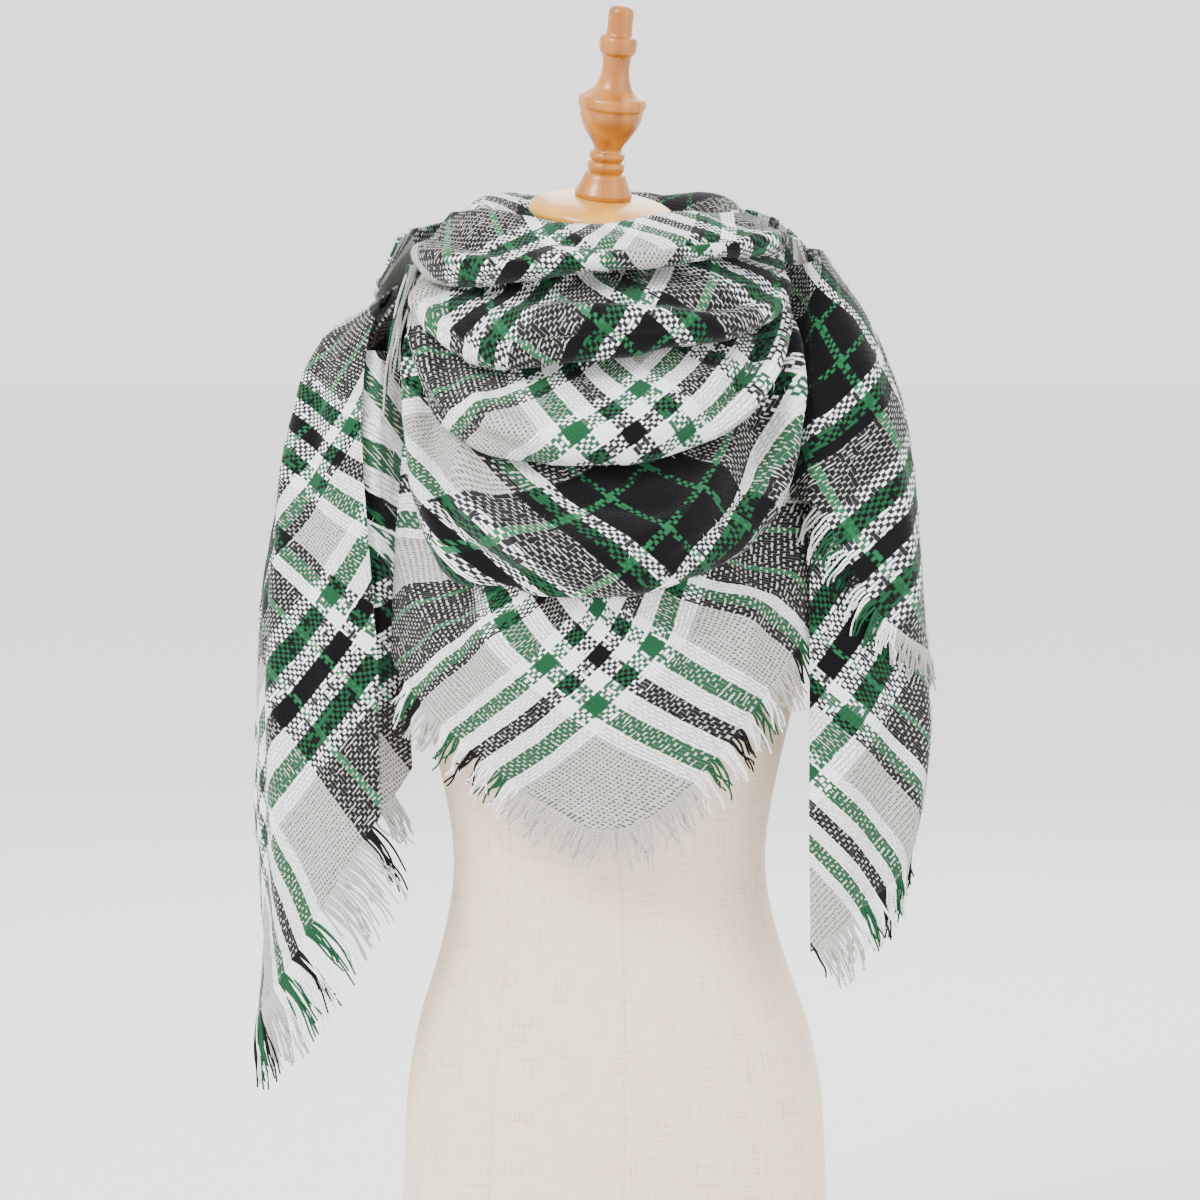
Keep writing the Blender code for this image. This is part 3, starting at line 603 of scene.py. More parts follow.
@dataclass
class DressForm:
    """Linen torso with seams, turned neck cap and finial, post and base."""

    neck_top: float = 0.932
    neck_x: float = -0.0095
    neck_y: float = -0.006
    neck_tilt: float = math.radians(12.0)
    neck_lean: float = math.radians(5.7)
    seam: float = 0.0004
    base_radius: float = 0.135
    base_height: float = 0.024
    post_radius: float = 0.019
    torso_bottom: float = 0.105
    stitch_radius: float = 0.0007
    cap_profile: tuple = (
        (0.0000, 0.0480), (0.0015, 0.0530), (0.0045, 0.0555), (0.0080, 0.0553),
        (0.0110, 0.0530), (0.0140, 0.0470), (0.0165, 0.0370), (0.0180, 0.0260),
    )
    finial_profile: tuple = (
        (0.0000, 0.0215), (0.0032, 0.0219), (0.0056, 0.0206), (0.0111, 0.0178),
        (0.0176, 0.0153), (0.0190, 0.0128), (0.0208, 0.0136), (0.0236, 0.0142),
        (0.0264, 0.0135), (0.0278, 0.0117), (0.0296, 0.0130), (0.0319, 0.0136),
        (0.0342, 0.0129), (0.0356, 0.0106), (0.0398, 0.0115), (0.0463, 0.0159),
        (0.0537, 0.0204), (0.0611, 0.0233), (0.0675, 0.0242), (0.0694, 0.0255),
        (0.0731, 0.0259), (0.0768, 0.0248), (0.0786, 0.0210), (0.0833, 0.0147),
        (0.0907, 0.0115), (0.0999, 0.0103), (0.1082, 0.0112), (0.1105, 0.0132),
        (0.1147, 0.0142), (0.1198, 0.0142), (0.1226, 0.0130), (0.1244, 0.0098),
        (0.1323, 0.0095), (0.1406, 0.0095), (0.1443, 0.0081), (0.1462, 0.0047),
    )
    base_profile: tuple = ((0.0, 1.0), (0.10, 1.0), (0.5, 1.0), (0.72, 0.985), (0.9, 0.93),
                           (1.0, 0.84))
    # Seams: name, side it is seen from, and rows of height and sideways place.
    seams: tuple = (
        ("front", -1, ((0.112, 0.006), (0.30, 0.008), (0.45, 0.006), (0.62, 0.004))),
        ("front_left", -1, ((0.112, -0.096), (0.24, -0.092), (0.44, -0.078), (0.60, -0.084))),
        ("front_right", -1, ((0.112, 0.110), (0.24, 0.106), (0.44, 0.084), (0.60, 0.088))),
        ("back", 1, ((0.112, 0.002), (0.44, -0.002), (0.72, -0.004))),
        ("back_left", 1, ((0.112, -0.098), (0.44, -0.070), (0.72, -0.092))),
        ("back_right", 1, ((0.112, 0.100), (0.44, 0.066), (0.72, 0.080))),
    )

    def build(self) -> None:
        """Makes and places every piece of the form."""
        linen = StretchedLinen().build()
        beech = VarnishedBeech().build()
        pale = VarnishedBeech("pale varnished beech", "#DDA036", "#BC7C1B", "#945C12",
                              (26.0, 9.0, 26.0)).build()
        torso = self.build_torso(linen)
        self.build_seams(torso, linen)
        neck = self.neck_frame()
        rise = Matrix.Translation((0, 0, self.seam))
        top = Matrix.Translation((0, 0, self.cap_profile[-1][0] + 2 * self.seam))
        turned = (
            ("turned_neck_cap", "neck_cap", finer(self.cap_profile, 3), neck @ rise, pale),
            ("turned_finial", "finial", finer(self.finial_profile, 3), neck @ top, beech),
            ("turned_base", "base", self.base_rows(), Matrix.Identity(4), beech),
            ("turned_post", "post", self.post_rows(), Matrix.Identity(4), beech),
        )
        for name, node, profile, place, material in turned:
            piece = turn_on_lathe(name, profile, 96, place, material)
            declare(piece, node)

    def neck_frame(self) -> Matrix:
        """The tilted frame at the middle of the neck's top."""
        axis = Vector((math.tan(self.neck_lean), -math.tan(self.neck_tilt), 1.0)).normalized()
        turn = Vector((0, 0, 1)).rotation_difference(axis).to_matrix().to_4x4()
        return Matrix.Translation((self.neck_x, self.neck_y, self.neck_top)) @ turn

    def base_rows(self) -> list[tuple[float, float]]:
        """Height and radius of the base's rows."""
        return [(h * self.base_height, r * self.base_radius) for h, r in self.base_profile]

    def post_rows(self) -> list[tuple[float, float]]:
        """Height and radius of the post's rows."""
        low = self.base_height + self.seam
        high = self.torso_bottom - self.seam
        wide = self.post_radius * 1.35
        return [(low, wide), (low + 0.0045, wide), (low + 0.006, wide * 0.97),
                (low + 0.008, self.post_radius * 1.12), (low + 0.012, self.post_radius),
                (high, self.post_radius)]

    def build_torso(self, linen: bpy.types.Material) -> bpy.types.Object:
        """A smooth copy of the torso, with its flat ends kept."""
        start_from("linen_torso")
        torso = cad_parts["torso"].copy()
        torso.data = torso.data.copy()
        torso.parent = None
        for key in list(torso.keys()):
            del torso[key]
        bpy.context.scene.collection.objects.link(torso)
        torso.name = "linen_torso"
        bpy.context.view_layer.objects.active = torso
        torso.select_set(True)
        bpy.ops.object.mode_set(mode="EDIT")
        bpy.ops.mesh.select_all(action="SELECT")
        bpy.ops.mesh.remove_doubles(threshold=0.00001)
        bpy.ops.mesh.tris_convert_to_quads(face_threshold=math.radians(30),
                                           shape_threshold=math.radians(60))
        bpy.ops.mesh.select_all(action="DESELECT")
        bpy.ops.mesh.select_mode(type="EDGE")
        bpy.ops.mesh.edges_select_sharp(sharpness=math.radians(48))
        bpy.ops.transform.edge_crease(value=1.0)
        bpy.ops.object.mode_set(mode="OBJECT")
        smooth = torso.modifiers.new("smooth", "SUBSURF")
        smooth.levels = 2
        smooth.render_levels = 2
        bpy.ops.object.modifier_apply(modifier=smooth.name)
        bpy.ops.object.shade_smooth_by_angle(angle=math.radians(40))
        torso.data.materials.clear()
        torso.data.materials.append(linen)
        declare(torso, "torso")
        return torso

    def build_seams(self, torso: bpy.types.Object, linen: bpy.types.Material) -> None:
        """The raised seams of the linen cover, found by looking at the torso from outside."""
        for name, side, rows in self.seams:
            start_from("linen_seam_" + name)
            path = Curve([(z, x) for z, x in rows])
            points = []
            for z in np.linspace(rows[0][0], rows[-1][0], 70):
                x = float(path(np.array(z)))
                hit, place, _, _ = torso.ray_cast(Vector((x, side * 0.6, z)),
                                                  Vector((0, -side, 0)))
                if hit:
                    points.append(place)
            data = bpy.data.curves.new("linen_seam_" + name, "CURVE")
            data.dimensions = "3D"
            data.bevel_depth = self.stitch_radius
            data.bevel_resolution = 1
            line = data.splines.new("POLY")
            line.points.add(len(points) - 1)
            for point, place in zip(line.points, points):
                point.co = (*place, 1.0)
            seam = bpy.data.objects.new("linen_seam_" + name, data)
            bpy.context.scene.collection.objects.link(seam)
            bpy.context.view_layer.objects.active = seam
            seam.select_set(True)
            bpy.ops.object.convert(target="MESH")
            seam = bpy.context.active_object
            seam.data.materials.clear()
            seam.data.materials.append(linen)
            bpy.ops.object.shade_smooth_by_angle(angle=math.radians(60))
            declare(seam)


# ---- the scarf's plan ---------------------------------------------------------------------
LOOP_X = -0.012
LOOP_POWER = 0.86
FOLD_OVERLAP = 0.014
FOLD_OVERLAP_SIDE = 0.002
FOLD_CLEAR = 0.0090
FOLD_END = 88
FOLD_END_FROM = 62
FOLD_END_WIDTH = 0.130
FOLD_END_X = -0.004
RIM_HEIGHT = 0.944
RIM_END_DROP = 0.012
RIM_DIP = 0.016
RIM_DIP_SPAN = 34
FOLD_UNDER = 0.0042
FOLD_SECTION = ((-0.34, 0.60), (0.00, 0.36), (-0.06, 0.12), (-0.26, 0.00), (-0.48, 0.03))
TOP_FOLD_DEPTH = 0.064
FOLDS = (
    (0.149, 0.148, ((-88, 0.911), (-70, 0.894), (-50, 0.884), (-30, 0.883), (0, 0.893),
                    (30, 0.903), (50, 0.906), (70, 0.909), (88, 0.916))),
    (0.152, 0.170, ((-88, 0.900), (-78, 0.888), (-70, 0.873), (-56, 0.849), (-36, 0.826),
                    (-10, 0.828), (20, 0.838), (45, 0.847), (66, 0.866), (78, 0.889),
                    (88, 0.904))),
    (0.154, 0.182, ((-88, 0.889), (-78, 0.873), (-68, 0.850), (-54, 0.797), (-36, 0.766),
                    (-10, 0.756), (15, 0.758), (34, 0.775), (52, 0.806), (66, 0.843),
                    (78, 0.875), (88, 0.892))),
    (0.160, 0.196, ((-88, 0.877), (-80, 0.861), (-72, 0.836), (-66, 0.786), (-60, 0.728),
                    (-48, 0.683), (-24, 0.664), (0, 0.659), (20, 0.668), (38, 0.690),
                    (52, 0.716), (60, 0.745), (66, 0.788), (72, 0.838), (80, 0.864),
                    (88, 0.880))),
)
COLLAR_SECTION = ((0.082, 0.914), (0.090, 0.934), (0.104, 0.950), (0.122, 0.956),
                  (0.134, 0.948), (0.139, 0.926), (0.138, 0.898))
COLLAR_SPAN = 104.0
COLLAR_END = (0.0735, 0.0965)
COLLAR_DROP = 0.0205
WRAP_POWER = 0.90
WRAP_INNER = dict(
    rows=((0.940, 0.134, 0.143), (0.915, 0.142, 0.147), (0.890, 0.152, 0.147),
          (0.870, 0.166, 0.144), (0.850, 0.182, 0.138), (0.825, 0.196, 0.124),
          (0.790, 0.206, 0.1085), (0.740, 0.212, 0.1035), (0.660, 0.214, 0.1035)),
    span=(-100, 98), centre_x=0.0, left_power=0.90, left_width=1.003,
    low=((-100, 0.720), (-60, 0.716), (0, 0.775), (60, 0.850), (98, 0.884)),
    high=((-100, 0.862), (-60, 0.900), (0, 0.932), (60, 0.925), (98, 0.915)))
WRAP_OUTER = dict(
    rows=((0.945, 0.142, 0.156), (0.915, 0.152, 0.163), (0.890, 0.164, 0.165),
          (0.870, 0.178, 0.164), (0.850, 0.190, 0.159), (0.825, 0.200, 0.147),
          (0.790, 0.209, 0.131), (0.740, 0.215, 0.121), (0.660, 0.217, 0.119)),
    span=(-98, 100), centre_x=-0.003, left_power=0.76, left_width=1.055,
    low=((-98, 0.888), (-70, 0.868), (-45, 0.832), (0, 0.770), (60, 0.705), (100, 0.690)),
    high=((-98, 0.918), (-60, 0.930), (0, 0.944), (60, 0.935), (100, 0.890)))
POINT = ((0.800, 0.170, 0.140), (0.720, 0.172, 0.150), (0.680, 0.175, 0.156),
         (0.650, 0.177, 0.163), (0.620, 0.178, 0.168), (0.580, 0.177, 0.165),
         (0.540, 0.175, 0.156), (0.500, 0.173, 0.145), (0.440, 0.170, 0.130))
POINT_X = -0.006
POINT_EDGE = ((-70, 0.628), (-60, 0.600), (-45, 0.570), (-30, 0.540), (-15, 0.507),
              (0, 0.483), (15, 0.508), (30, 0.555), (45, 0.600), (60, 0.640), (70, 0.662))
POINT_HIDDEN = 0.022
POINT_HIGHEST = 0.765
POINT_CLEAR = 0.0033
POINT_SWELL = 0.045
LEFT_TAIL = (
    (0.915, -0.166, -0.036, -0.168, 0.008, -0.118, 0.102),
    (0.885, -0.168, -0.044, -0.172, 0.004, -0.120, 0.104),
    (0.868, -0.172, -0.052, -0.183, 0.000, -0.124, 0.108),
    (0.856, -0.174, -0.062, -0.204, -0.004, -0.130, 0.106),
    (0.825, -0.175, -0.078, -0.231, -0.012, -0.136, 0.100),
    (0.788, -0.175, -0.090, -0.242, -0.018, -0.142, 0.100),
    (0.750, -0.175, -0.097, -0.252, -0.022, -0.150, 0.096),
    (0.700, -0.175, -0.101, -0.258, -0.025, -0.160, 0.090),
    (0.660, -0.175, -0.103, -0.264, -0.028, -0.170, 0.084),
    (0.600, -0.175, -0.104, -0.268, -0.030, -0.185, 0.066),
    (0.540, -0.175, -0.105, -0.271, -0.034, -0.196, 0.048),
    (0.480, -0.174, -0.104, -0.269, -0.040, -0.204, 0.030),
    (0.400, -0.182, -0.101, -0.266, -0.048, -0.220, 0.006),
    (0.310, -0.200, -0.096, -0.272, -0.056, -0.240, -0.012))
RIGHT_TAIL = (
    (0.925, 0.146, -0.020, 0.154, 0.012, 0.102, 0.132),
    (0.905, 0.147, -0.032, 0.162, 0.010, 0.108, 0.136),
    (0.880, 0.148, -0.048, 0.180, 0.004, 0.114, 0.137),
    (0.856, 0.148, -0.062, 0.196, -0.002, 0.120, 0.134),
    (0.828, 0.148, -0.078, 0.209, -0.008, 0.126, 0.127),
    (0.792, 0.147, -0.092, 0.222, -0.012, 0.132, 0.119),
    (0.737, 0.146, -0.104, 0.230, -0.018, 0.142, 0.107),
    (0.680, 0.146, -0.110, 0.235, -0.021, 0.152, 0.094),
    (0.620, 0.146, -0.112, 0.239, -0.023, 0.166, 0.078),
    (0.540, 0.146, -0.112, 0.245, -0.028, 0.180, 0.056),
    (0.480, 0.146, -0.111, 0.238, -0.034, 0.190, 0.034),
    (0.430, 0.147, -0.109, 0.226, -0.044, 0.192, 0.010),
    (0.340, 0.148, -0.104, 0.190, -0.060, 0.176, -0.020))
TAIL_POWER = 0.80
INWARD = 0.10
TUCK = 0.12
LEFT_PLY = dict(
    rows=LEFT_TAIL, inset=0.0, around=(0.0, 1.0),
    trim=((0.48, 0.0), (0.62, 0.002), (0.70, 0.016), (0.78, 0.036), (0.87, 0.042)),
    high=((0.0, 0.866), (0.25, 0.872), (0.5, 0.876), (0.75, 0.886), (1.0, 0.896)),
    low=((0.0, 0.486), (0.1, 0.428), (0.2, 0.384), (0.3, 0.354), (0.4, 0.336),
         (0.5, 0.328), (0.6, 0.372), (0.8, 0.540), (1.0, 0.720)))
LEFT_UNDER = dict(
    rows=LEFT_TAIL, inset=0.0075, around=(-0.22, 0.84),
    high=((-0.22, 0.826), (-0.08, 0.832), (0.08, 0.834), (0.3, 0.830), (0.84, 0.816)),
    low=((-0.22, 0.520), (-0.08, 0.500), (0.12, 0.480), (0.5, 0.446), (0.84, 0.640)))
RIGHT_FLAP = dict(
    rows=RIGHT_TAIL, inset=0.0, around=(-0.14, 1.0),
    trim=((0.78, 0.0), (0.84, -0.05), (0.88, -0.06), (0.92, -0.04)),
    high=((0.0, 0.898), (0.25, 0.905), (0.5, 0.909), (0.75, 0.912), (1.0, 0.915)),
    low=((0.0, 0.7235), (0.06, 0.690), (0.15, 0.644), (0.25, 0.624), (0.38, 0.611),
         (0.5, 0.604), (0.75, 0.620), (1.0, 0.690)))
RIGHT_UNDER = dict(
    rows=RIGHT_TAIL, inset=0.0040, around=(0.0, 0.9),
    high=((0.0, 0.800), (0.25, 0.790), (0.5, 0.780), (0.9, 0.770)),
    low=((0.0, 0.385), (0.1, 0.408), (0.2, 0.424), (0.3, 0.437), (0.5, 0.455),
         (0.7, 0.520), (0.9, 0.640)))
NECK_STRANDS = ((0.00, -0.1500, -0.0665, 0.8980), (0.30, -0.1585, -0.0815, 0.8650),
                (0.65, -0.1655, -0.0930, 0.8250), (1.00, -0.1705, -0.1000, 0.7850))


def on_loop(bearing: np.ndarray, half_width: np.ndarray, reach: np.ndarray,
            centre_x: np.ndarray) -> tuple[np.ndarray, np.ndarray]:
    """Plan points of a loop round the neck.

    Args:
        bearing: degrees from the front, to the wearer's left.
        half_width: the loop's reach to the side.
        reach: its reach to the front.
        centre_x: its centre in X.

    Returns:
        X and Y of each point.
    """
    angle = np.radians(bearing)
    return (centre_x + half_width * powered(np.sin(angle), LOOP_POWER),
            -reach * powered(np.cos(angle), LOOP_POWER))


def fold_ending(bearing: np.ndarray) -> np.ndarray:
    """How far a loop has drawn in to its end, from 0 to 1."""
    return eased((np.abs(bearing) - FOLD_END_FROM) / (FOLD_END - FOLD_END_FROM))


def fold_crest(index: int, bearing: np.ndarray) -> tuple[np.ndarray, np.ndarray, np.ndarray]:
    """Half width, reach and depth of a fold's crest.

    Args:
        index: which fold, from the top.
        bearing: degrees from the front.

    Returns:
        The three sizes in metres, for each bearing.
    """
    ending = fold_ending(bearing)
    front = np.cos(np.radians(bearing)) ** 2
    width = reach = depth = None
    for own_width, own_reach, _ in FOLDS[:index + 1]:
        half_width = own_width + (FOLD_END_WIDTH - own_width) * ending
        if width is None:
            depth = TOP_FOLD_DEPTH * (0.42 + 0.58 * front)
        else:
            step_out = (own_reach - reach) * front + (half_width - width) * (1 - front)
            depth = step_out - FOLD_SECTION[-1][0] * depth + FOLD_CLEAR
        width, reach = half_width, own_reach
    return width, reach, depth


def loop_centre(bearing: np.ndarray) -> np.ndarray:
    """The loops' centre in X."""
    return LOOP_X + (FOLD_END_X - LOOP_X) * fold_ending(bearing)


def fold_surface(index: int) -> Surface:
    """The surface of one fold round the neck.

    Args:
        index: which fold, from the top.

    Returns:
        A function from places across and down the fold to points.
    """
    low_line = Curve(FOLDS[index][2])
    high_line = Curve(FOLDS[index - 1][2]) if index else None

    def surface(across: np.ndarray, down: np.ndarray) -> np.ndarray:
        """Points of the fold."""
        bearing = FOLD_END * (2 * across - 1)
        low = low_line(bearing)
        if high_line is None:
            high = RIM_HEIGHT - RIM_END_DROP * (bearing / FOLD_END) ** 2
            high = high - RIM_DIP * np.exp(-(bearing / RIM_DIP_SPAN) ** 2)
            rows = [(-1.0, high - 0.006), (-0.88, high)]
        else:
            high = high_line(bearing)
            front = np.cos(np.radians(bearing)) ** 2
            overlap = FOLD_OVERLAP * front + FOLD_OVERLAP_SIDE * (1 - front)
            rows = [(-1.0, high + overlap), (-0.97, high - FOLD_UNDER)]
        rows += [(out, low + up * (high - low)) for out, up in FOLD_SECTION]
        out = read_rows(np.array([np.full_like(low, row[0]) for row in rows]), down)
        z = read_rows(np.array([row[1] for row in rows]), down)
        half_width, reach, depth = fold_crest(index, bearing)
        x, y = on_loop(bearing, half_width + out * depth, reach + out * depth,
                       loop_centre(bearing))
        return np.stack([x, y, z], axis=-1)

    return surface


def collar_surface(across: np.ndarray, down: np.ndarray) -> np.ndarray:
    """The rolled collar behind the neck, whose ends run in behind the top fold."""
    bearing = (2 * across - 1) * COLLAR_SPAN
    last = len(COLLAR_SECTION) - 1
    section = Curve([(k / last, *row) for k, row in enumerate(COLLAR_SECTION)])(down)
    radius, z = section[..., 0], section[..., 1]
    ending = eased((np.abs(bearing) / COLLAR_SPAN - 0.3) / 0.7)
    inner, outer = COLLAR_END
    share = (radius - COLLAR_SECTION[0][0]) / (COLLAR_SECTION[-1][0] - COLLAR_SECTION[0][0])
    radius = radius + (inner + (outer - inner) * share - radius) * ending
    angle = np.radians(bearing)
    return np.stack([LOOP_X * (1 - ending) + radius * np.sin(angle), radius * np.cos(angle),
                     z - COLLAR_DROP * ending], axis=-1)


def wrap_surface(wrap: dict) -> Surface:
    """One end crossing the back.

    Args:
        wrap: its table, as in WRAP_INNER.

    Returns:
        A function from places across and down the end to points.
    """
    first, last = wrap["span"]
    high_line, low_line, plan = Curve(wrap["high"]), Curve(wrap["low"]), Curve(wrap["rows"])

    def surface(across: np.ndarray, down: np.ndarray) -> np.ndarray:
        """Points of the end."""
        bearing = first + (last - first) * across
        high, low = high_line(bearing), low_line(bearing)
        z = high + (low - high) * down
        section = plan(z)
        half_width, depth = section[..., 0], section[..., 1]
        angle = np.radians(bearing)
        power = np.where(bearing < 0, wrap["left_power"], WRAP_POWER)
        half_width = half_width * np.where(bearing < 0, wrap["left_width"], 1.0)
        return np.stack([wrap["centre_x"] + half_width * powered(np.sin(angle), power),
                         depth * powered(np.cos(angle), power), z], axis=-1)

    return surface


def point_surface(across: np.ndarray, down: np.ndarray) -> np.ndarray:
    """The panel that hangs from behind the lowest fold and ends in the scarf's point."""
    bearing = (2 * across - 1) * POINT_EDGE[-1][0]
    fold_low = Curve(FOLDS[-1][2])(bearing)
    high = np.minimum(fold_low + POINT_HIDDEN, POINT_HIGHEST)
    low = Curve(POINT_EDGE)(bearing)
    z = high + (low - high) * down
    section = Curve(POINT)(z)
    half_width, reach = section[..., 0], section[..., 1]
    crest_width, crest_reach, depth = fold_crest(len(FOLDS) - 1, bearing)
    tuck = -FOLD_SECTION[-1][0] * depth + POINT_CLEAR
    swell = eased((fold_low - z) / POINT_SWELL)
    half_width = (crest_width - tuck) * (1 - swell) + half_width * swell
    reach = (crest_reach - tuck) * (1 - swell) + reach * swell
    x, y = on_loop(bearing, half_width, reach, LOOP_X * (1 - swell) + POINT_X * swell)
    return np.stack([x, y, z], axis=-1)


def tail_surface(tail: dict) -> Surface:
    """One ply of a hanging end: around is 0 at its inner front edge, 0.5 at its outer fold
    and 1 at its back edge."""
    first, last = tail["around"]
    high_line, low_line, plan = Curve(tail["high"]), Curve(tail["low"]), Curve(tail["rows"])
    side = math.copysign(1.0, tail["rows"][0][3])
    trim = Curve(tail.get("trim", ((0.0, 0.0), (1.0, 0.0))))

    def surface(across: np.ndarray, down: np.ndarray) -> np.ndarray:
        """Points of the ply."""
        around = first + (last - first) * across
        high, low = high_line(around), low_line(around)
        z = high + (low - high) * down
        around = around + trim(z) * (1 - across)
        inner_x, front_y, outer_x, mid_y, back_x, back_y = np.moveaxis(plan(z), -1, 0)
        outer_x = outer_x - side * tail["inset"]
        front_y = front_y + tail["inset"]
        back_y = back_y - tail["inset"]
        angle = math.pi * np.clip(around, 0.0, 0.5)
        x = inner_x + (outer_x - inner_x) * powered(np.sin(angle), TAIL_POWER)
        y = mid_y + (front_y - mid_y) * powered(np.cos(angle), TAIL_POWER)
        angle = math.pi * (np.clip(around, 0.5, 1.0) - 0.5)
        back = around >= 0.5
        x = np.where(back, back_x + (outer_x - back_x) * powered(np.cos(angle), TAIL_POWER), x)
        y = np.where(back, mid_y + (back_y - mid_y) * powered(np.sin(angle), TAIL_POWER), y)
        x = np.where(around < 0, inner_x + side * around * INWARD, x)
        y = np.where(around < 0, front_y - around * TUCK, y)
        return np.stack([x, y, z], axis=-1)

    return surface


# ---- cloth --------------------------------------------------------------------------------
class Lay(Enum):
    """Which way the stripes count: signs of (rightwards, upwards) for warp, then weft."""

    UP = ((1, 1), (-1, 1))
    DOWN = ((-1, -1), (1, -1))
    LEFT = ((-1, -1), (-1, 1))


@dataclass(frozen=True)
class Stretch:
    """One stretch of the scarf that shows.

    Stripes are (across, down, warp thread, weft thread) where known stripes lie, and creases
    are (across, down, across, down, width, height) from end to end, in metres, where a
    height below zero is a trough.  Selvages are the ways of the threads, 0 for warp and 1 for
    weft, that end at this stretch's woven edge.
    """

    name: str
    surface: Surface
    lay: Lay
    outward: int
    rightward: int
    flat: tuple[float, float]
    area: float
    rests_on: tuple[str, ...]
    stripes: tuple = ()
    creases: tuple = ()
    rumple: float = 0.0011
    columns: int = 156
    rows: int = 66
    fringes: tuple = ()
    selvages: tuple[int, ...] = ()

    @property
    def piece(self) -> str:
        """The name of the cloth's piece."""
        return "plaid_" + self.name

    @property
    def node(self) -> str:
        """The CAD node that the piece stands for."""
        return "scarf_" + self.name


@dataclass(frozen=True)
class Fringe:
    """One row of fringe: its node, stretch of the woven edge, length and sideways turn."""

    node: str
    along: tuple[float, float]
    length: float
    sway: float


@dataclass
class LaidCloth:
    """A stretch's middle surface once laid: points, outward directions and cloth places."""

    points: np.ndarray
    outward: np.ndarray
    place: np.ndarray


def smooth_noise(p: np.ndarray, q: np.ndarray, size: float,
                 random: np.random.Generator) -> np.ndarray:
    """Smooth random heights from -1 to 1 on a square lattice.

    Args:
        p: places along the lattice, in metres.
        q: places up the lattice, in metres.
        size: its spacing, in metres.
        random: where its heights come from.

    Returns:
        One height for each place.
    """
    lattice = random.uniform(-1, 1, (64, 64))
    u, v = p / size + 32, q / size + 32
    i, j = np.floor(u).astype(int), np.floor(v).astype(int)
    s, t = eased(u - i), eased(v - j)
    i, j = i % 63, j % 63
    low = lattice[i, j] * (1 - s) + lattice[i + 1, j] * s
    high = lattice[i, j + 1] * (1 - s) + lattice[i + 1, j + 1] * s
    return low * (1 - t) + high * t


def crease_heights(surface: Surface, points: np.ndarray, creases: tuple) -> np.ndarray:
    """The height that the creases give each point.

    Args:
        surface: the stretch's surface.
        points: its grid of points.
        creases: their rows, as in Stretch.

    Returns:
        Heights in metres, outwards.
    """
    heights = np.zeros(points.shape[:2])
    for across_0, down_0, across_1, down_1, width, height in creases:
        at = np.linspace(0, 1, 9)
        line = surface(across_0 + (across_1 - across_0) * at, down_0 + (down_1 - down_0) * at)
        nearest = np.full(heights.shape, 1e9)
        share = np.zeros(heights.shape)
        for k in range(len(line) - 1):
            step = line[k + 1] - line[k]
            t = np.clip(((points - line[k]) @ step) / (step @ step), 0, 1)
            away = np.linalg.norm(points - line[k] - t[..., None] * step, axis=2)
            closer = away < nearest
            share = np.where(closer, (k + t) / (len(line) - 1), share)
            nearest = np.where(closer, away, nearest)
        taper = np.sin(np.pi * np.clip(0.08 + 0.84 * share, 0, 1)) ** 0.6
        heights += height * taper * np.exp(-(nearest / width) ** 2)
    return heights


def fitted(stripes: list[tuple[float, float, float]], base: np.ndarray, p: np.ndarray,
           q: np.ndarray) -> np.ndarray:
    """Moves one set of stripes to where they are known to lie.

    Args:
        stripes: rows of grid row, grid column and the cloth place there.
        base: the cloth places of an unstretched sheet.
        p: rightward places.
        q: upward places.

    Returns:
        Cloth places, stretched as little and as smoothly as the stripes allow.
    """
    if not stripes:
        return base
    rows = np.array([s[0] for s in stripes])
    columns = np.array([s[1] for s in stripes])
    miss = np.array([s[2] for s in stripes]) - base[rows, columns]
    known_p, known_q = p[rows, columns], q[rows, columns]
    reach = 0.05
    p = np.clip(p, known_p.min() - reach, known_p.max() + reach)
    q = np.clip(q, known_q.min() - reach, known_q.max() + reach)
    unit = 0.1
    mid_p, mid_q = known_p.mean(), known_q.mean()

    def terms(at_p: np.ndarray, at_q: np.ndarray) -> np.ndarray:
        """Terms of a second degree surface."""
        a, b = (at_p - mid_p) / unit, (at_q - mid_q) / unit
        return np.stack([np.ones_like(a), a, b, a * a, a * b, b * b], axis=-1)

    known = terms(known_p, known_q)
    hold = np.diag([0.0, 0.06, 0.06, 0.25, 0.25, 0.25])
    shape = np.linalg.solve(known.T @ known + hold, known.T @ miss)
    return base + terms(p, q) @ shape


def lay_cloth(stretch: Stretch, random: np.random.Generator) -> LaidCloth:
    """Lays one stretch: its shape with its creases, and where each point is on the cloth.

    Args:
        stretch: what is laid.
        random: where its low unevenness comes from.

    Returns:
        Its middle surface.
    """
    across, down = np.meshgrid(np.linspace(0, 1, stretch.columns),
                               np.linspace(0, 1, stretch.rows))
    points = stretch.surface(across, down)
    outward = grid_normals(points) * stretch.outward
    plan = points.copy()
    plan[..., 2] = 0
    along = running_length(plan, 1).mean(axis=0)
    p = np.broadcast_to((along - along[len(along) // 2]) * stretch.rightward, across.shape)
    q = points[0, :, 2][None, :] - running_length(points, 0)
    places = []
    for index, (sign_p, sign_q) in enumerate(stretch.lay.value):
        base = (sign_p * p + sign_q * q) / math.sqrt(2)
        known = [(round(row[1] * (stretch.rows - 1)), round(row[0] * (stretch.columns - 1)),
                  row[2 + index] * THREAD) for row in stretch.stripes
                 if row[2 + index] is not None]
        place = fitted(known, base, p, q)
        if index in stretch.selvages:
            place = np.abs(place) + 0.4 * THREAD
        places.append(place)
    heights = crease_heights(stretch.surface, points, stretch.creases)
    for size, share in ((0.055, 1.0), (0.022, 0.45), (0.009, 0.16)):
        heights += stretch.rumple * share * smooth_noise(p, q, size, random)
    points = points + outward * heights[..., None]
    return LaidCloth(points, grid_normals(points) * stretch.outward, np.stack(places, axis=-1))


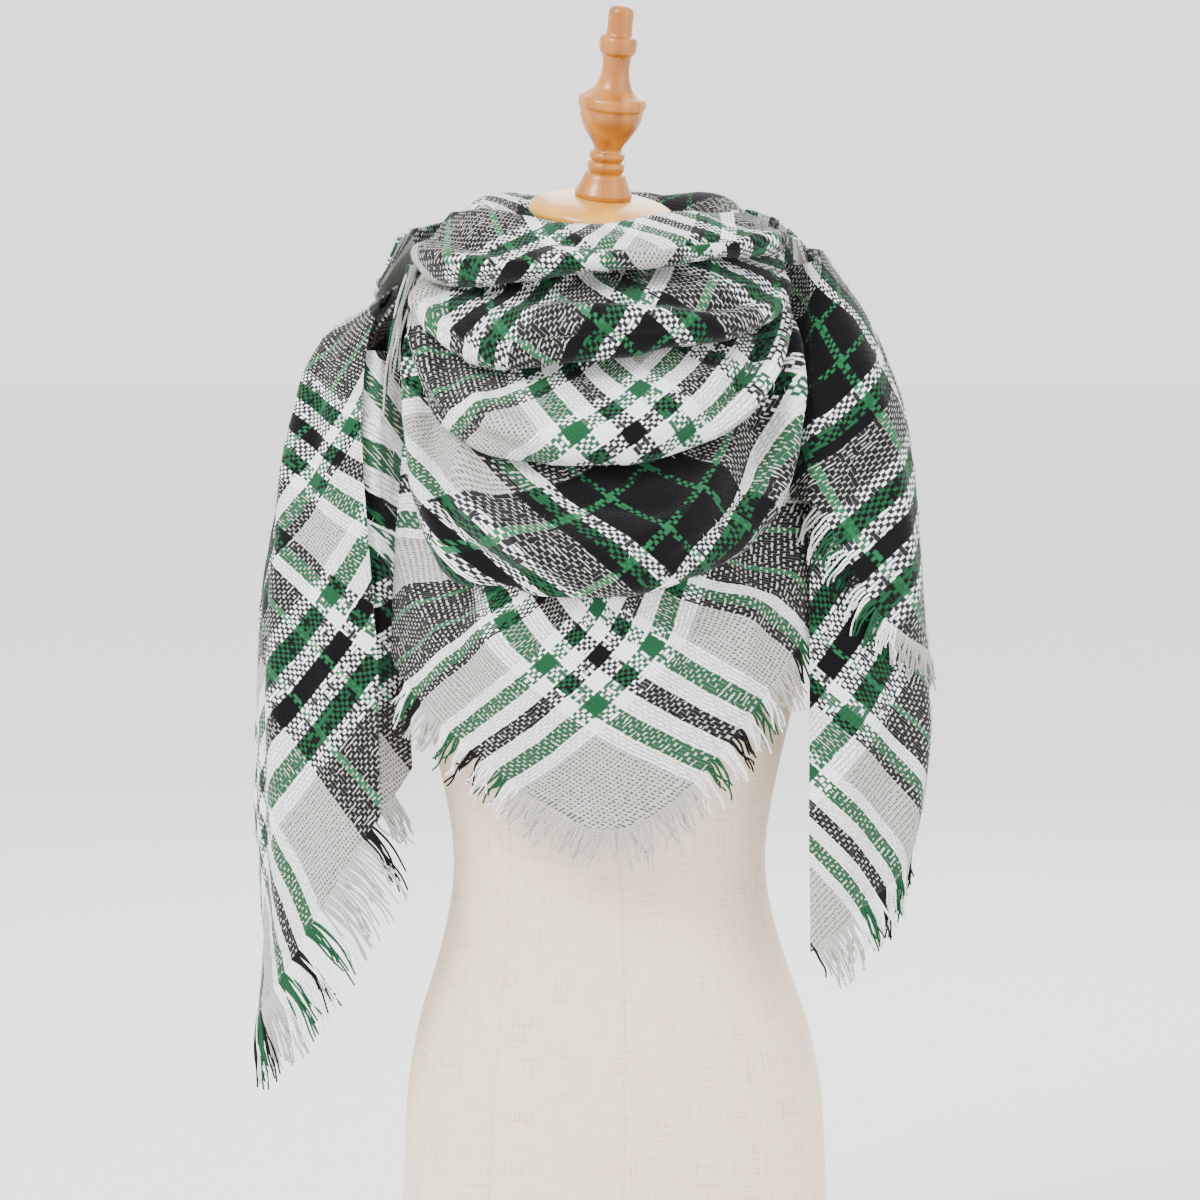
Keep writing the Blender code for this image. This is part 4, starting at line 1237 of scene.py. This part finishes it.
def mesh_piece(name: str, vertices: np.ndarray, faces: list, places: np.ndarray,
               material: bpy.types.Material) -> bpy.types.Object:
    """A mesh object with its cloth places as a UV map.

    Args:
        name: the piece's name.
        vertices: its points.
        faces: its faces, each a tuple of vertex numbers.
        places: one (u, v) for each vertex, in metres of cloth.
        material: its finish.

    Returns:
        The new object.
    """
    mesh = bpy.data.meshes.new(name)
    mesh.from_pydata(vertices.tolist(), [], faces)
    shell = bmesh.new()
    shell.from_mesh(mesh)
    bmesh.ops.recalc_face_normals(shell, faces=shell.faces)
    shell.to_mesh(mesh)
    shell.free()
    corners = np.empty(len(mesh.loops), dtype=np.int32)
    mesh.loops.foreach_get("vertex_index", corners)
    layer = mesh.uv_layers.new(name="cloth")
    layer.data.foreach_set("uv", places[corners].astype(np.float32).ravel())
    mesh.shade_smooth()
    mesh.set_sharp_from_angle(angle=math.radians(60))
    mesh.materials.append(material)
    piece = bpy.data.objects.new(name, mesh)
    bpy.context.scene.collection.objects.link(piece)
    return piece


def shell_faces(rows: int, columns: int) -> list[tuple[int, ...]]:
    """Faces of a closed wall whose outer grid of points comes before its inner one.

    Args:
        rows: points down the grid.
        columns: points across it.

    Returns:
        Faces as tuples of vertex numbers.
    """
    count = rows * columns
    faces = []
    for r in range(rows - 1):
        for c in range(columns - 1):
            a = r * columns + c
            faces.append((a, a + 1, a + columns + 1, a + columns))
            faces.append((count + a + columns, count + a + columns + 1, count + a + 1,
                          count + a))
    rim = [c for c in range(columns)]
    rim += [r * columns + columns - 1 for r in range(1, rows)]
    rim += [(rows - 1) * columns + c for c in range(columns - 2, -1, -1)]
    rim += [r * columns for r in range(rows - 2, 0, -1)]
    for a, b in zip(rim, rim[1:] + rim[:1]):
        faces.append((a, count + a, count + b, b))
    return faces


def yarn_places(paths: np.ndarray, colours: np.ndarray) -> np.ndarray:
    """Each point's cloth place: across the stripes, then along its own yarn."""
    run = np.cumsum(np.linalg.norm(np.diff(paths, axis=1, prepend=paths[:, :1]), axis=2), axis=1)
    return np.stack(np.broadcast_arrays(colours[:, None], run), axis=-1)


def yarn_piece(name: str, paths: np.ndarray, places: np.ndarray, radius: float,
               material: bpy.types.Material, sides: int = 5) -> bpy.types.Object:
    """Many yarns as one mesh of thin closed tubes.

    Args:
        name: the piece's name.
        paths: points of each yarn: yarns, points, 3.
        places: the cloth place of each of those points, in metres.
        radius: half a yarn's thickness.
        material: its finish.
        sides: facets round a yarn.

    Returns:
        The new object.
    """
    count, length, _ = paths.shape
    heading = np.gradient(paths, axis=1)
    heading /= np.maximum(np.linalg.norm(heading, axis=2, keepdims=True), 1e-9)
    first = np.cross(heading, np.array([0.31, 0.90, 0.28]))
    first /= np.maximum(np.linalg.norm(first, axis=2, keepdims=True), 1e-9)
    second = np.cross(heading, first)
    turn = np.linspace(0, 2 * math.pi, sides, endpoint=False)
    taper = np.linspace(1.0, 0.62, length)[None, :, None, None]
    rings = (paths[:, :, None, :] + radius * taper * (
        np.cos(turn)[None, None, :, None] * first[:, :, None, :]
        + np.sin(turn)[None, None, :, None] * second[:, :, None, :]))
    places = np.repeat(places[:, :, None, :], sides, axis=2)
    faces = []
    for yarn in range(count):
        start = yarn * length * sides
        for k in range(length - 1):
            for s in range(sides):
                a = start + k * sides + s
                b = start + k * sides + (s + 1) % sides
                faces.append((a, b, b + sides, a + sides))
        faces.append(tuple(range(start + sides - 1, start - 1, -1)))
        end = start + (length - 1) * sides
        faces.append(tuple(range(end, end + sides)))
    return mesh_piece(name, rings.reshape(-1, 3), faces, places.reshape(-1, 2), material)


# ---- the scarf ----------------------------------------------------------------------------
STRETCHES = (
    Stretch("neck_fold_1", fold_surface(0), Lay.DOWN, -1, 1,
            (0.47, 0.12), 0.038, ("torso", "scarf_neck_fold_2"),
            stripes=((0.57, 0.54, 61.5, 61.5), (0.26, 0.30, 96, None), (0.44, 1.00, 96, None),
                     (0.65, 0.49, 48.5, 73)),
            rumple=0.0026,
            creases=((0.10, 0.45, 0.34, 0.55, 0.006, 0.003),
                     (0.55, 0.45, 0.78, 0.40, 0.006, -0.003),
                     (0.70, 0.60, 0.92, 0.50, 0.006, 0.003),
                     (0.20, 0.30, 0.52, 0.62, 0.009, -0.0064),
                     (0.42, 0.28, 0.80, 0.62, 0.008, -0.0056),
                     (0.30, 0.42, 0.62, 0.74, 0.010, 0.0064))),
    Stretch("neck_fold_2", fold_surface(1), Lay.DOWN, -1, 1,
            (0.53, 0.13), 0.042, ("torso", "scarf_neck_fold_3"),
            stripes=((0.57, 0.38, 77, 77), (0.57, 0.29, 73, 73), (0.55, 0.55, 83, 83),
                     (0.28, 0.19, None, 38.5), (0.30, 0.57, None, 38.5),
                     (0.51, 0.34, None, 69.5), (0.45, 0.86, None, 69.5)),
            rumple=0.0026,
            creases=((0.12, 0.38, 0.40, 0.52, 0.006, 0.0035),
                     (0.16, 0.50, 0.44, 0.72, 0.006, -0.0035),
                     (0.66, 0.42, 0.92, 0.40, 0.006, -0.003),
                     (0.22, 0.42, 0.60, 0.66, 0.010, -0.0072),
                     (0.48, 0.30, 0.86, 0.52, 0.009, -0.0064),
                     (0.34, 0.30, 0.62, 0.40, 0.009, 0.0048),
                     (0.62, 0.66, 0.90, 0.60, 0.010, 0.0064))),
    Stretch("neck_fold_3", fold_surface(2), Lay.UP, -1, 1,
            (0.60, 0.13), 0.044, ("torso", "scarf_neck_fold_4"),
            stripes=((0.54, 0.55, 151.5, 151.5), (0.57, 0.30, 161.5, 161.5),
                     (0.48, 0.54, 141.5, 161.5), (0.62, 0.61, 161.5, 141.5)),
            rumple=0.003,
            creases=((0.10, 0.30, 0.34, 0.52, 0.007, 0.0035),
                     (0.12, 0.46, 0.36, 0.78, 0.007, -0.004),
                     (0.60, 0.34, 0.88, 0.28, 0.007, 0.0035),
                     (0.56, 0.50, 0.86, 0.46, 0.006, -0.003),
                     (0.18, 0.26, 0.40, 0.74, 0.011, -0.0085),
                     (0.84, 0.24, 0.62, 0.66, 0.010, -0.0085),
                     (0.90, 0.34, 0.70, 0.72, 0.009, 0.0068),
                     (0.26, 0.30, 0.46, 0.66, 0.010, 0.0051))),
    Stretch("neck_fold_4", fold_surface(3), Lay.UP, -1, 1,
            (0.76, 0.15), 0.060, ("torso", "scarf_front_point"),
            stripes=((0.57, 0.45, 88, 88), (0.53, 0.30, 88, 104), (0.67, 0.31, 104, 88),
                     (0.33, 0.15, 77, None), (0.55, 0.59, 77, None),
                     (0.35, 0.33, 61.5, 108), (0.47, 0.54, 61.5, None),
                     (0.25, 0.38, 48.5, None), (0.41, 0.59, 48.5, 100),
                     (0.24, 0.57, 38.5, None), (0.33, 0.62, 38.5, None),
                     (0.66, 0.54, None, 77)),
            rumple=0.003,
            creases=((0.08, 0.22, 0.26, 0.56, 0.008, 0.004),
                     (0.30, 0.56, 0.52, 0.74, 0.008, -0.004),
                     (0.52, 0.72, 0.80, 0.56, 0.008, 0.004),
                     (0.44, 0.26, 0.60, 0.34, 0.008, -0.003),
                     (0.16, 0.24, 0.38, 0.70, 0.014, -0.0119),
                     (0.22, 0.22, 0.46, 0.58, 0.011, 0.0085),
                     (0.86, 0.22, 0.62, 0.62, 0.013, -0.0119),
                     (0.80, 0.20, 0.56, 0.46, 0.010, 0.0068),
                     (0.92, 0.34, 0.72, 0.76, 0.011, 0.0085))),
    Stretch("back_collar", collar_surface, Lay.UP, 1, 1,
            (0.47, 0.13), 0.048, ("torso",),
            stripes=((0.30, 0.45, 61.5, 33.0),),
            creases=((0.30, 0.35, 0.46, 0.60, 0.009, -0.003),
                     (0.58, 0.35, 0.70, 0.70, 0.009, -0.003))),
    Stretch("back_wrap_inner", wrap_surface(WRAP_INNER),
            Lay.UP, 1, 1, (0.59, 0.20), 0.077, ("torso",),
            stripes=((0.40, 0.80, 11.0, 61.5),),
            creases=((0.20, 0.20, 0.50, 0.85, 0.014, -0.004),
                     (0.05, 0.45, 0.35, 0.90, 0.012, 0.004)), rumple=0.0009,
            fringes=(Fringe("fringe_back_inner", (0.01, 0.33), 0.026,
                            0.0),)),
    Stretch("back_wrap_outer", wrap_surface(WRAP_OUTER),
            Lay.LEFT, 1, 1, (0.66, 0.25), 0.099, ("scarf_back_wrap_inner",),
            stripes=((0.62, 0.55, 61.5, 38.5),),
            rumple=0.0018,
            creases=((0.18, 0.30, 0.52, 0.42, 0.012, -0.0048),
                     (0.34, 0.20, 0.80, 0.66, 0.015, 0.006),
                     (0.46, 0.62, 0.92, 0.78, 0.013, -0.006),
                     (0.60, 0.16, 0.96, 0.44, 0.012, -0.0048),
                     (0.30, 0.72, 0.60, 0.90, 0.010, 0.0036)),
            fringes=(Fringe("fringe_back_outer", (0.31, 0.96), 0.026,
                            0.0),)),
    Stretch("front_point", point_surface, Lay.UP, -1, 1,
            (0.53, 0.20), 0.070, ("torso",),
            stripes=((0.49, 0.34, 38.5, 38.5), (0.49, 0.53, 28.5, 28.5),
                     (0.50, 0.17, 48.5, 48.5), (0.42, 0.42, 28.5, 48.5),
                     (0.57, 0.33, 48.5, 28.5), (0.51, 1.00, 1.0, 1.0),
                     (0.48, 0.78, 11, 11), (0.30, 0.59, 11, 61.5), (0.68, 0.40, 61.5, 11),
                     (0.20, 1.00, 0.5, None), (0.36, 1.00, 0.5, None),
                     (0.64, 1.00, None, 0.5), (0.82, 1.00, None, 0.5)), selvages=(0, 1),
            rumple=0.0022,
            creases=((0.36, 0.30, 0.44, 0.90, 0.008, 0.0025),
                     (0.60, 0.30, 0.66, 0.90, 0.008, -0.0025),
                     (0.28, 0.05, 0.40, 0.80, 0.013, 0.00525),
                     (0.20, 0.08, 0.30, 0.85, 0.012, -0.006),
                     (0.66, 0.05, 0.58, 0.80, 0.013, -0.0045),
                     (0.78, 0.08, 0.70, 0.85, 0.012, 0.006),
                     (0.49, 0.30, 0.51, 0.95, 0.015, 0.003)),
            fringes=(Fringe("fringe_point_left", (0.10, 0.50), 0.030,
                            -0.45),
                     Fringe("fringe_point_right", (0.50, 0.92),
                            0.032, 0.10))),
    Stretch("left_tail", tail_surface(LEFT_PLY), Lay.LEFT, 1, -1,
            (0.65, 0.58), 0.125, ("scarf_back_wrap_inner", "scarf_left_under_ply"),
            stripes=((0.12, 0.36, 61.5, 61.5), (0.37, 0.17, 38.5, None),
                     (0.03, 0.31, 38.5, None), (0.17, 0.28, 48.5, None),
                     (0.07, 0.21, 28.5, None), (0.32, 0.35, 73, None), (0.09, 0.49, 73, None),
                     (0.29, 0.38, 77, None), (0.03, 0.59, 77, None), (0.03, 0.61, None, 38.5),
                     (0.20, 0.62, None, 38.5), (0.13, 0.93, 124, None),
                     (0.20, 0.93, 141.5, None), (0.24, 0.94, 151.5, None),
                     (0.28, 0.96, 161.5, None), (0.00, 0.96, None, 2),
                     (0.10, 1.00, None, 0.5), (0.20, 1.00, None, 0.5),
                     (0.32, 1.00, None, 0.5), (0.48, 1.00, None, 0.5)), selvages=(1,),
            rumple=0.002,
            creases=((0.22, 0.04, 0.10, 0.60, 0.012, -0.0048),
                     (0.32, 0.06, 0.26, 0.92, 0.014, 0.006),
                     (0.14, 0.30, 0.06, 0.96, 0.010, 0.0036),
                     (0.42, 0.10, 0.40, 0.95, 0.012, -0.0048),
                     (0.58, 0.06, 0.56, 0.90, 0.014, 0.006),
                     (0.70, 0.08, 0.66, 0.85, 0.014, -0.0072),
                     (0.84, 0.10, 0.80, 0.80, 0.013, 0.0048)),
            fringes=(Fringe("fringe_left_tail_front",
                            (0.01, 0.50), 0.050, 0.20),
                     Fringe("fringe_left_tail_back",
                            (0.50, 0.99), 0.030, 0.05))),
    Stretch("left_under_ply", tail_surface(LEFT_UNDER), Lay.LEFT,
            1, -1, (0.37, 0.39), 0.074, ("scarf_left_tail", "scarf_back_wrap_inner"),
            stripes=((0.26, 0.05, 48.5, 11), (0.15, 0.33, None, 38.5)), rumple=0.0006,
            fringes=(Fringe("fringe_left_under_ply",
                            (0.12, 0.28), 0.030, 0.50),)),
    Stretch("right_flap", tail_surface(RIGHT_FLAP), Lay.LEFT, -1, 1,
            (0.40, 0.33), 0.084, ("scarf_back_wrap_outer", "scarf_right_tail"),
            stripes=((0.26, 0.35, 88, None), (0.41, 0.57, 88, None), (0.22, 0.33, None, 88),
                     (0.30, 0.36, None, 77), (0.12, 0.70, None, 77), (0.26, 0.42, None, 73),
                     (0.12, 0.80, None, 73), (0.18, 0.69, None, 61.5),
                     (0.29, 0.65, None, 48.5), (0.21, 0.84, None, 48.5),
                     (0.44, 0.66, None, 38.5), (0.23, 0.90, None, 38.5),
                     (0.39, 0.81, None, 28.5), (0.32, 0.91, None, 28.5),
                     (0.17, 1.00, 108, None), (0.30, 1.00, 108, None),
                     (0.47, 1.00, 108, None)),
            creases=((0.10, 0.10, 0.24, 0.80, 0.012, -0.003),
                     (0.26, 0.06, 0.40, 0.90, 0.013, 0.005),
                     (0.52, 0.10, 0.54, 0.90, 0.013, -0.004),
                     (0.66, 0.10, 0.70, 0.85, 0.014, 0.005),
                     (0.82, 0.10, 0.82, 0.80, 0.012, -0.004)), rumple=0.0009,
            fringes=(Fringe("fringe_right_flap", (0.13, 0.99), 0.028,
                            0.0),)),
    Stretch("right_tail", tail_surface(RIGHT_UNDER), Lay.UP, -1, 1,
            (0.37, 0.42), 0.080, ("scarf_right_flap", "torso"),
            stripes=((0.14, 0.72, 61.5, 14), (0.07, 0.59, 73, 28.5), (0.01, 0.68, 48.5, 28.5),
                     (0.03, 0.53, 77, None), (0.31, 0.74, 77, None), (0.00, 0.74, 38.5, None),
                     (0.12, 0.89, 38.5, None), (0.01, 0.82, 28.5, None),
                     (0.07, 0.90, 28.5, None), (0.02, 0.93, 11, None),
                     (0.16, 0.39, None, 38.5), (0.03, 0.50, None, 38.5),
                     (0.05, 1.00, None, 0.5), (0.20, 1.00, None, 0.5),
                     (0.35, 1.00, None, 0.5)), selvages=(1,),
            creases=((0.10, 0.45, 0.06, 0.96, 0.011, 0.0044),
                     (0.24, 0.50, 0.18, 0.96, 0.012, -0.0044),
                     (0.40, 0.55, 0.34, 0.96, 0.014, 0.0055),
                     (0.62, 0.50, 0.56, 0.95, 0.014, -0.0044)), rumple=0.0013,
            fringes=(Fringe("fringe_right_tail", (0.01, 0.99), 0.036,
                            0.0),)),
)


@dataclass
class Scarf:
    """Every stretch of the scarf, its fringe and the loose corner's yarns."""

    wall: float = 0.0018
    yarn_radius: float = 0.0011
    yarn_points: int = 10
    hairs: float = 15000.0       # raised hairs on a square metre
    hair_radius: float = 0.00016     # coarser than a real hair, so that it shows
    fringe_weight: float = 0.7
    stretches: tuple[Stretch, ...] = STRETCHES

    def build(self) -> None:
        cloth = BrushedPlaid().build()
        yarn = FringeYarn().build()
        random = np.random.default_rng(SEED)
        for stretch in self.stretches:
            laid = lay_cloth(stretch, random)
            piece = self.build_stretch(stretch, laid, cloth)
            rows = [self.build_fringe(fringe, laid, yarn, random) for fringe in stretch.fringes]
            if stretch.piece == "plaid_neck_fold_1":
                rows.append(self.build_neck_strands(yarn, random))
            rows.append(self.build_nap(stretch, laid, cloth, random))

    def build_stretch(self, stretch: Stretch, laid: LaidCloth,
                      cloth: bpy.types.Material) -> bpy.types.Object:
        """One stretch as a closed shell of the cloth's thickness.

        Args:
            stretch: what is built.
            laid: its laid surface.
            cloth: its finish.

        Returns:
            The shell.
        """
        half = laid.outward * self.wall / 2
        vertices = np.concatenate([(laid.points + half).reshape(-1, 3),
                                   (laid.points - half).reshape(-1, 3)])
        places = np.concatenate([laid.place.reshape(-1, 2)] * 2)
        faces = shell_faces(stretch.rows, stretch.columns)
        piece = mesh_piece(stretch.piece, vertices, faces, places, cloth)
        declare(piece, stretch.node)
        LOG.info("laid %s, %.3f by %.3f m", stretch.piece,
                 running_length(laid.points, 1)[:, -1].max(),
                 running_length(laid.points, 0)[-1].max())
        return piece

    def build_nap(self, stretch: Stretch, laid: LaidCloth, cloth: bpy.types.Material,
                  random: np.random.Generator) -> bpy.types.Object:
        """The longer hairs that brushing has raised from one stretch, in its own colours.

        Args:
            stretch: the cloth that they stand on.
            laid: its laid surface.
            cloth: its finish, whose stripes they take.
            random: where they stand and lean.

        Returns:
            The hairs as one piece.
        """
        count = int(stretch.area * self.hairs)
        row = random.integers(1, stretch.rows - 1, count)
        column = random.integers(1, stretch.columns - 1, count)
        down = np.linspace(0, 1, 4)[None, :, None]
        outward = laid.outward[row, column]
        root = laid.points[row, column] + outward * self.wall * 0.4
        root = root + random.normal(0, 0.0006, root.shape)
        drift = random.normal(0, 1, (count, 3))
        drift -= outward * (drift * outward).sum(axis=1, keepdims=True)
        drift /= np.linalg.norm(drift, axis=1, keepdims=True)
        reach = random.uniform(0.0020, 0.0055, (count, 1, 1))
        rise = random.uniform(0.30, 0.75, (count, 1, 1))
        path = (root[:, None, :] + drift[:, None, :] * down * reach
                + outward[:, None, :] * (down - 0.45 * down ** 2) * reach * rise)
        place = np.repeat(laid.place[row, column][:, None, :], path.shape[1], axis=1)
        piece = yarn_piece("nap_" + stretch.piece, path, place, self.hair_radius, cloth, 3)
        declare(piece)
        return piece

    def build_fringe(self, fringe: Fringe, laid: LaidCloth, yarn: bpy.types.Material,
                     random: np.random.Generator) -> bpy.types.Object:
        """The loose ends of the yarns along one stretch of a woven edge.

        Args:
            fringe: the row's own figures.
            laid: the cloth that it hangs from.
            yarn: its finish.
            random: where its unevenness comes from.

        Returns:
            The row of yarns as one piece.
        """
        edge = laid.points[-1]
        at = np.linspace(0, 1, len(edge))
        inward = laid.points[-4]
        length = float(np.linalg.norm(np.diff(edge, axis=0), axis=1).sum())
        count = int(length * (fringe.along[1] - fringe.along[0]) / THREAD * 1.45)
        spots = np.linspace(fringe.along[0], fringe.along[1], count)
        spots = spots + random.uniform(-0.3, 0.3, count) / max(count, 1) * 0.5

        def read(values: np.ndarray) -> np.ndarray:
            """Values of the edge at the yarns' roots."""
            return np.stack([np.interp(spots, at, column) for column in values.T], axis=-1)

        root = read(edge)
        sideways = read(np.gradient(edge, axis=0))
        sideways /= np.linalg.norm(sideways, axis=1, keepdims=True)
        outwards = root - read(inward)
        outwards -= sideways * (outwards * sideways).sum(axis=1, keepdims=True)
        outwards /= np.linalg.norm(outwards, axis=1, keepdims=True)
        facing = read(laid.outward[-1])
        place = read(laid.place[-1])
        change = np.ptp(place, axis=0)
        crossing = place[:, int(np.argmax(change))]

        down = np.linspace(0, 1, self.yarn_points)[None, :, None]
        pull = np.array([fringe.sway, 0.0, -self.fringe_weight])
        heading = outwards[:, None, :] + pull * down
        heading /= np.linalg.norm(heading, axis=2, keepdims=True)
        reach = fringe.length * random.uniform(0.62, 1.12, count)
        path = root[:, None, :] + heading * down * reach[:, None, None]
        clump = np.cumsum(random.uniform(0, 1, count) < 0.30)
        centre = np.array([spots[clump == k].mean() for k in clump])
        gather = (centre - spots) * length * random.uniform(0.4, 0.9, count)
        wave = (np.sin(down[..., 0] * random.uniform(4, 9, (count, 1))
                       + random.uniform(0, 6.3, (count, 1)))
                * random.uniform(0.0006, 0.0022, (count, 1)) * down[..., 0])
        lean = random.normal(0, 0.0030, (count, 1)) * down[..., 0] ** 1.5
        swing = gather[:, None] * down[..., 0] + wave + lean
        lift = (np.sin(down[..., 0] * random.uniform(3, 8, (count, 1))
                       + random.uniform(0, 6.3, (count, 1)))
                * 0.0014 + random.normal(0, 0.0018, (count, 1))) * down[..., 0]
        path = path + sideways[:, None, :] * swing[..., None] + facing[:, None, :] * lift[..., None]
        piece = yarn_piece("yarn_" + fringe.node, path, yarn_places(path, crossing),
                           self.yarn_radius, yarn)
        declare(piece, fringe.node)
        return piece

    def build_neck_strands(self, yarn: bpy.types.Material,
                           random: np.random.Generator) -> bpy.types.Object:
        """The loose yarns of a corner at the side of the neck.

        Args:
            yarn: their finish.
            random: where their unevenness comes from.

        Returns:
            The yarns as one piece.
        """
        count = 9
        down = np.linspace(0, 1, 16)
        line = Curve(NECK_STRANDS)(down)
        across = random.uniform(-0.006, 0.006, (count, 1))
        wave = np.sin(down[None, :] * random.uniform(5, 11, (count, 1))
                      + random.uniform(0, 6.3, (count, 1))) * 0.0016
        swing = across * (1 - 0.3 * down[None, :]) + wave
        reach = random.uniform(0.6, 1.0, (count, 1, 1))
        path = line[0] + (line - line[0])[None, :, :] * reach
        path = path + swing[..., None] * np.array([0.7, 0.7, 0.0])
        colours = THREAD * random.choice([12.0, 23.5, 24.5, 28.5, 60.0], count)
        piece = yarn_piece("yarn_neck_corner", path, yarn_places(path, colours),
                           self.yarn_radius, yarn)
        declare(piece, "fringe_neck_corner")
        return piece


def main() -> None:
    """Builds everything in order."""
    logging.basicConfig(level=logging.INFO, format="%(name)s: %(message)s")
    Studio().build()
    DressForm().build()
    Scarf().build()
    bpy.context.view_layer.update()


if __name__ == "__main__":
    main()
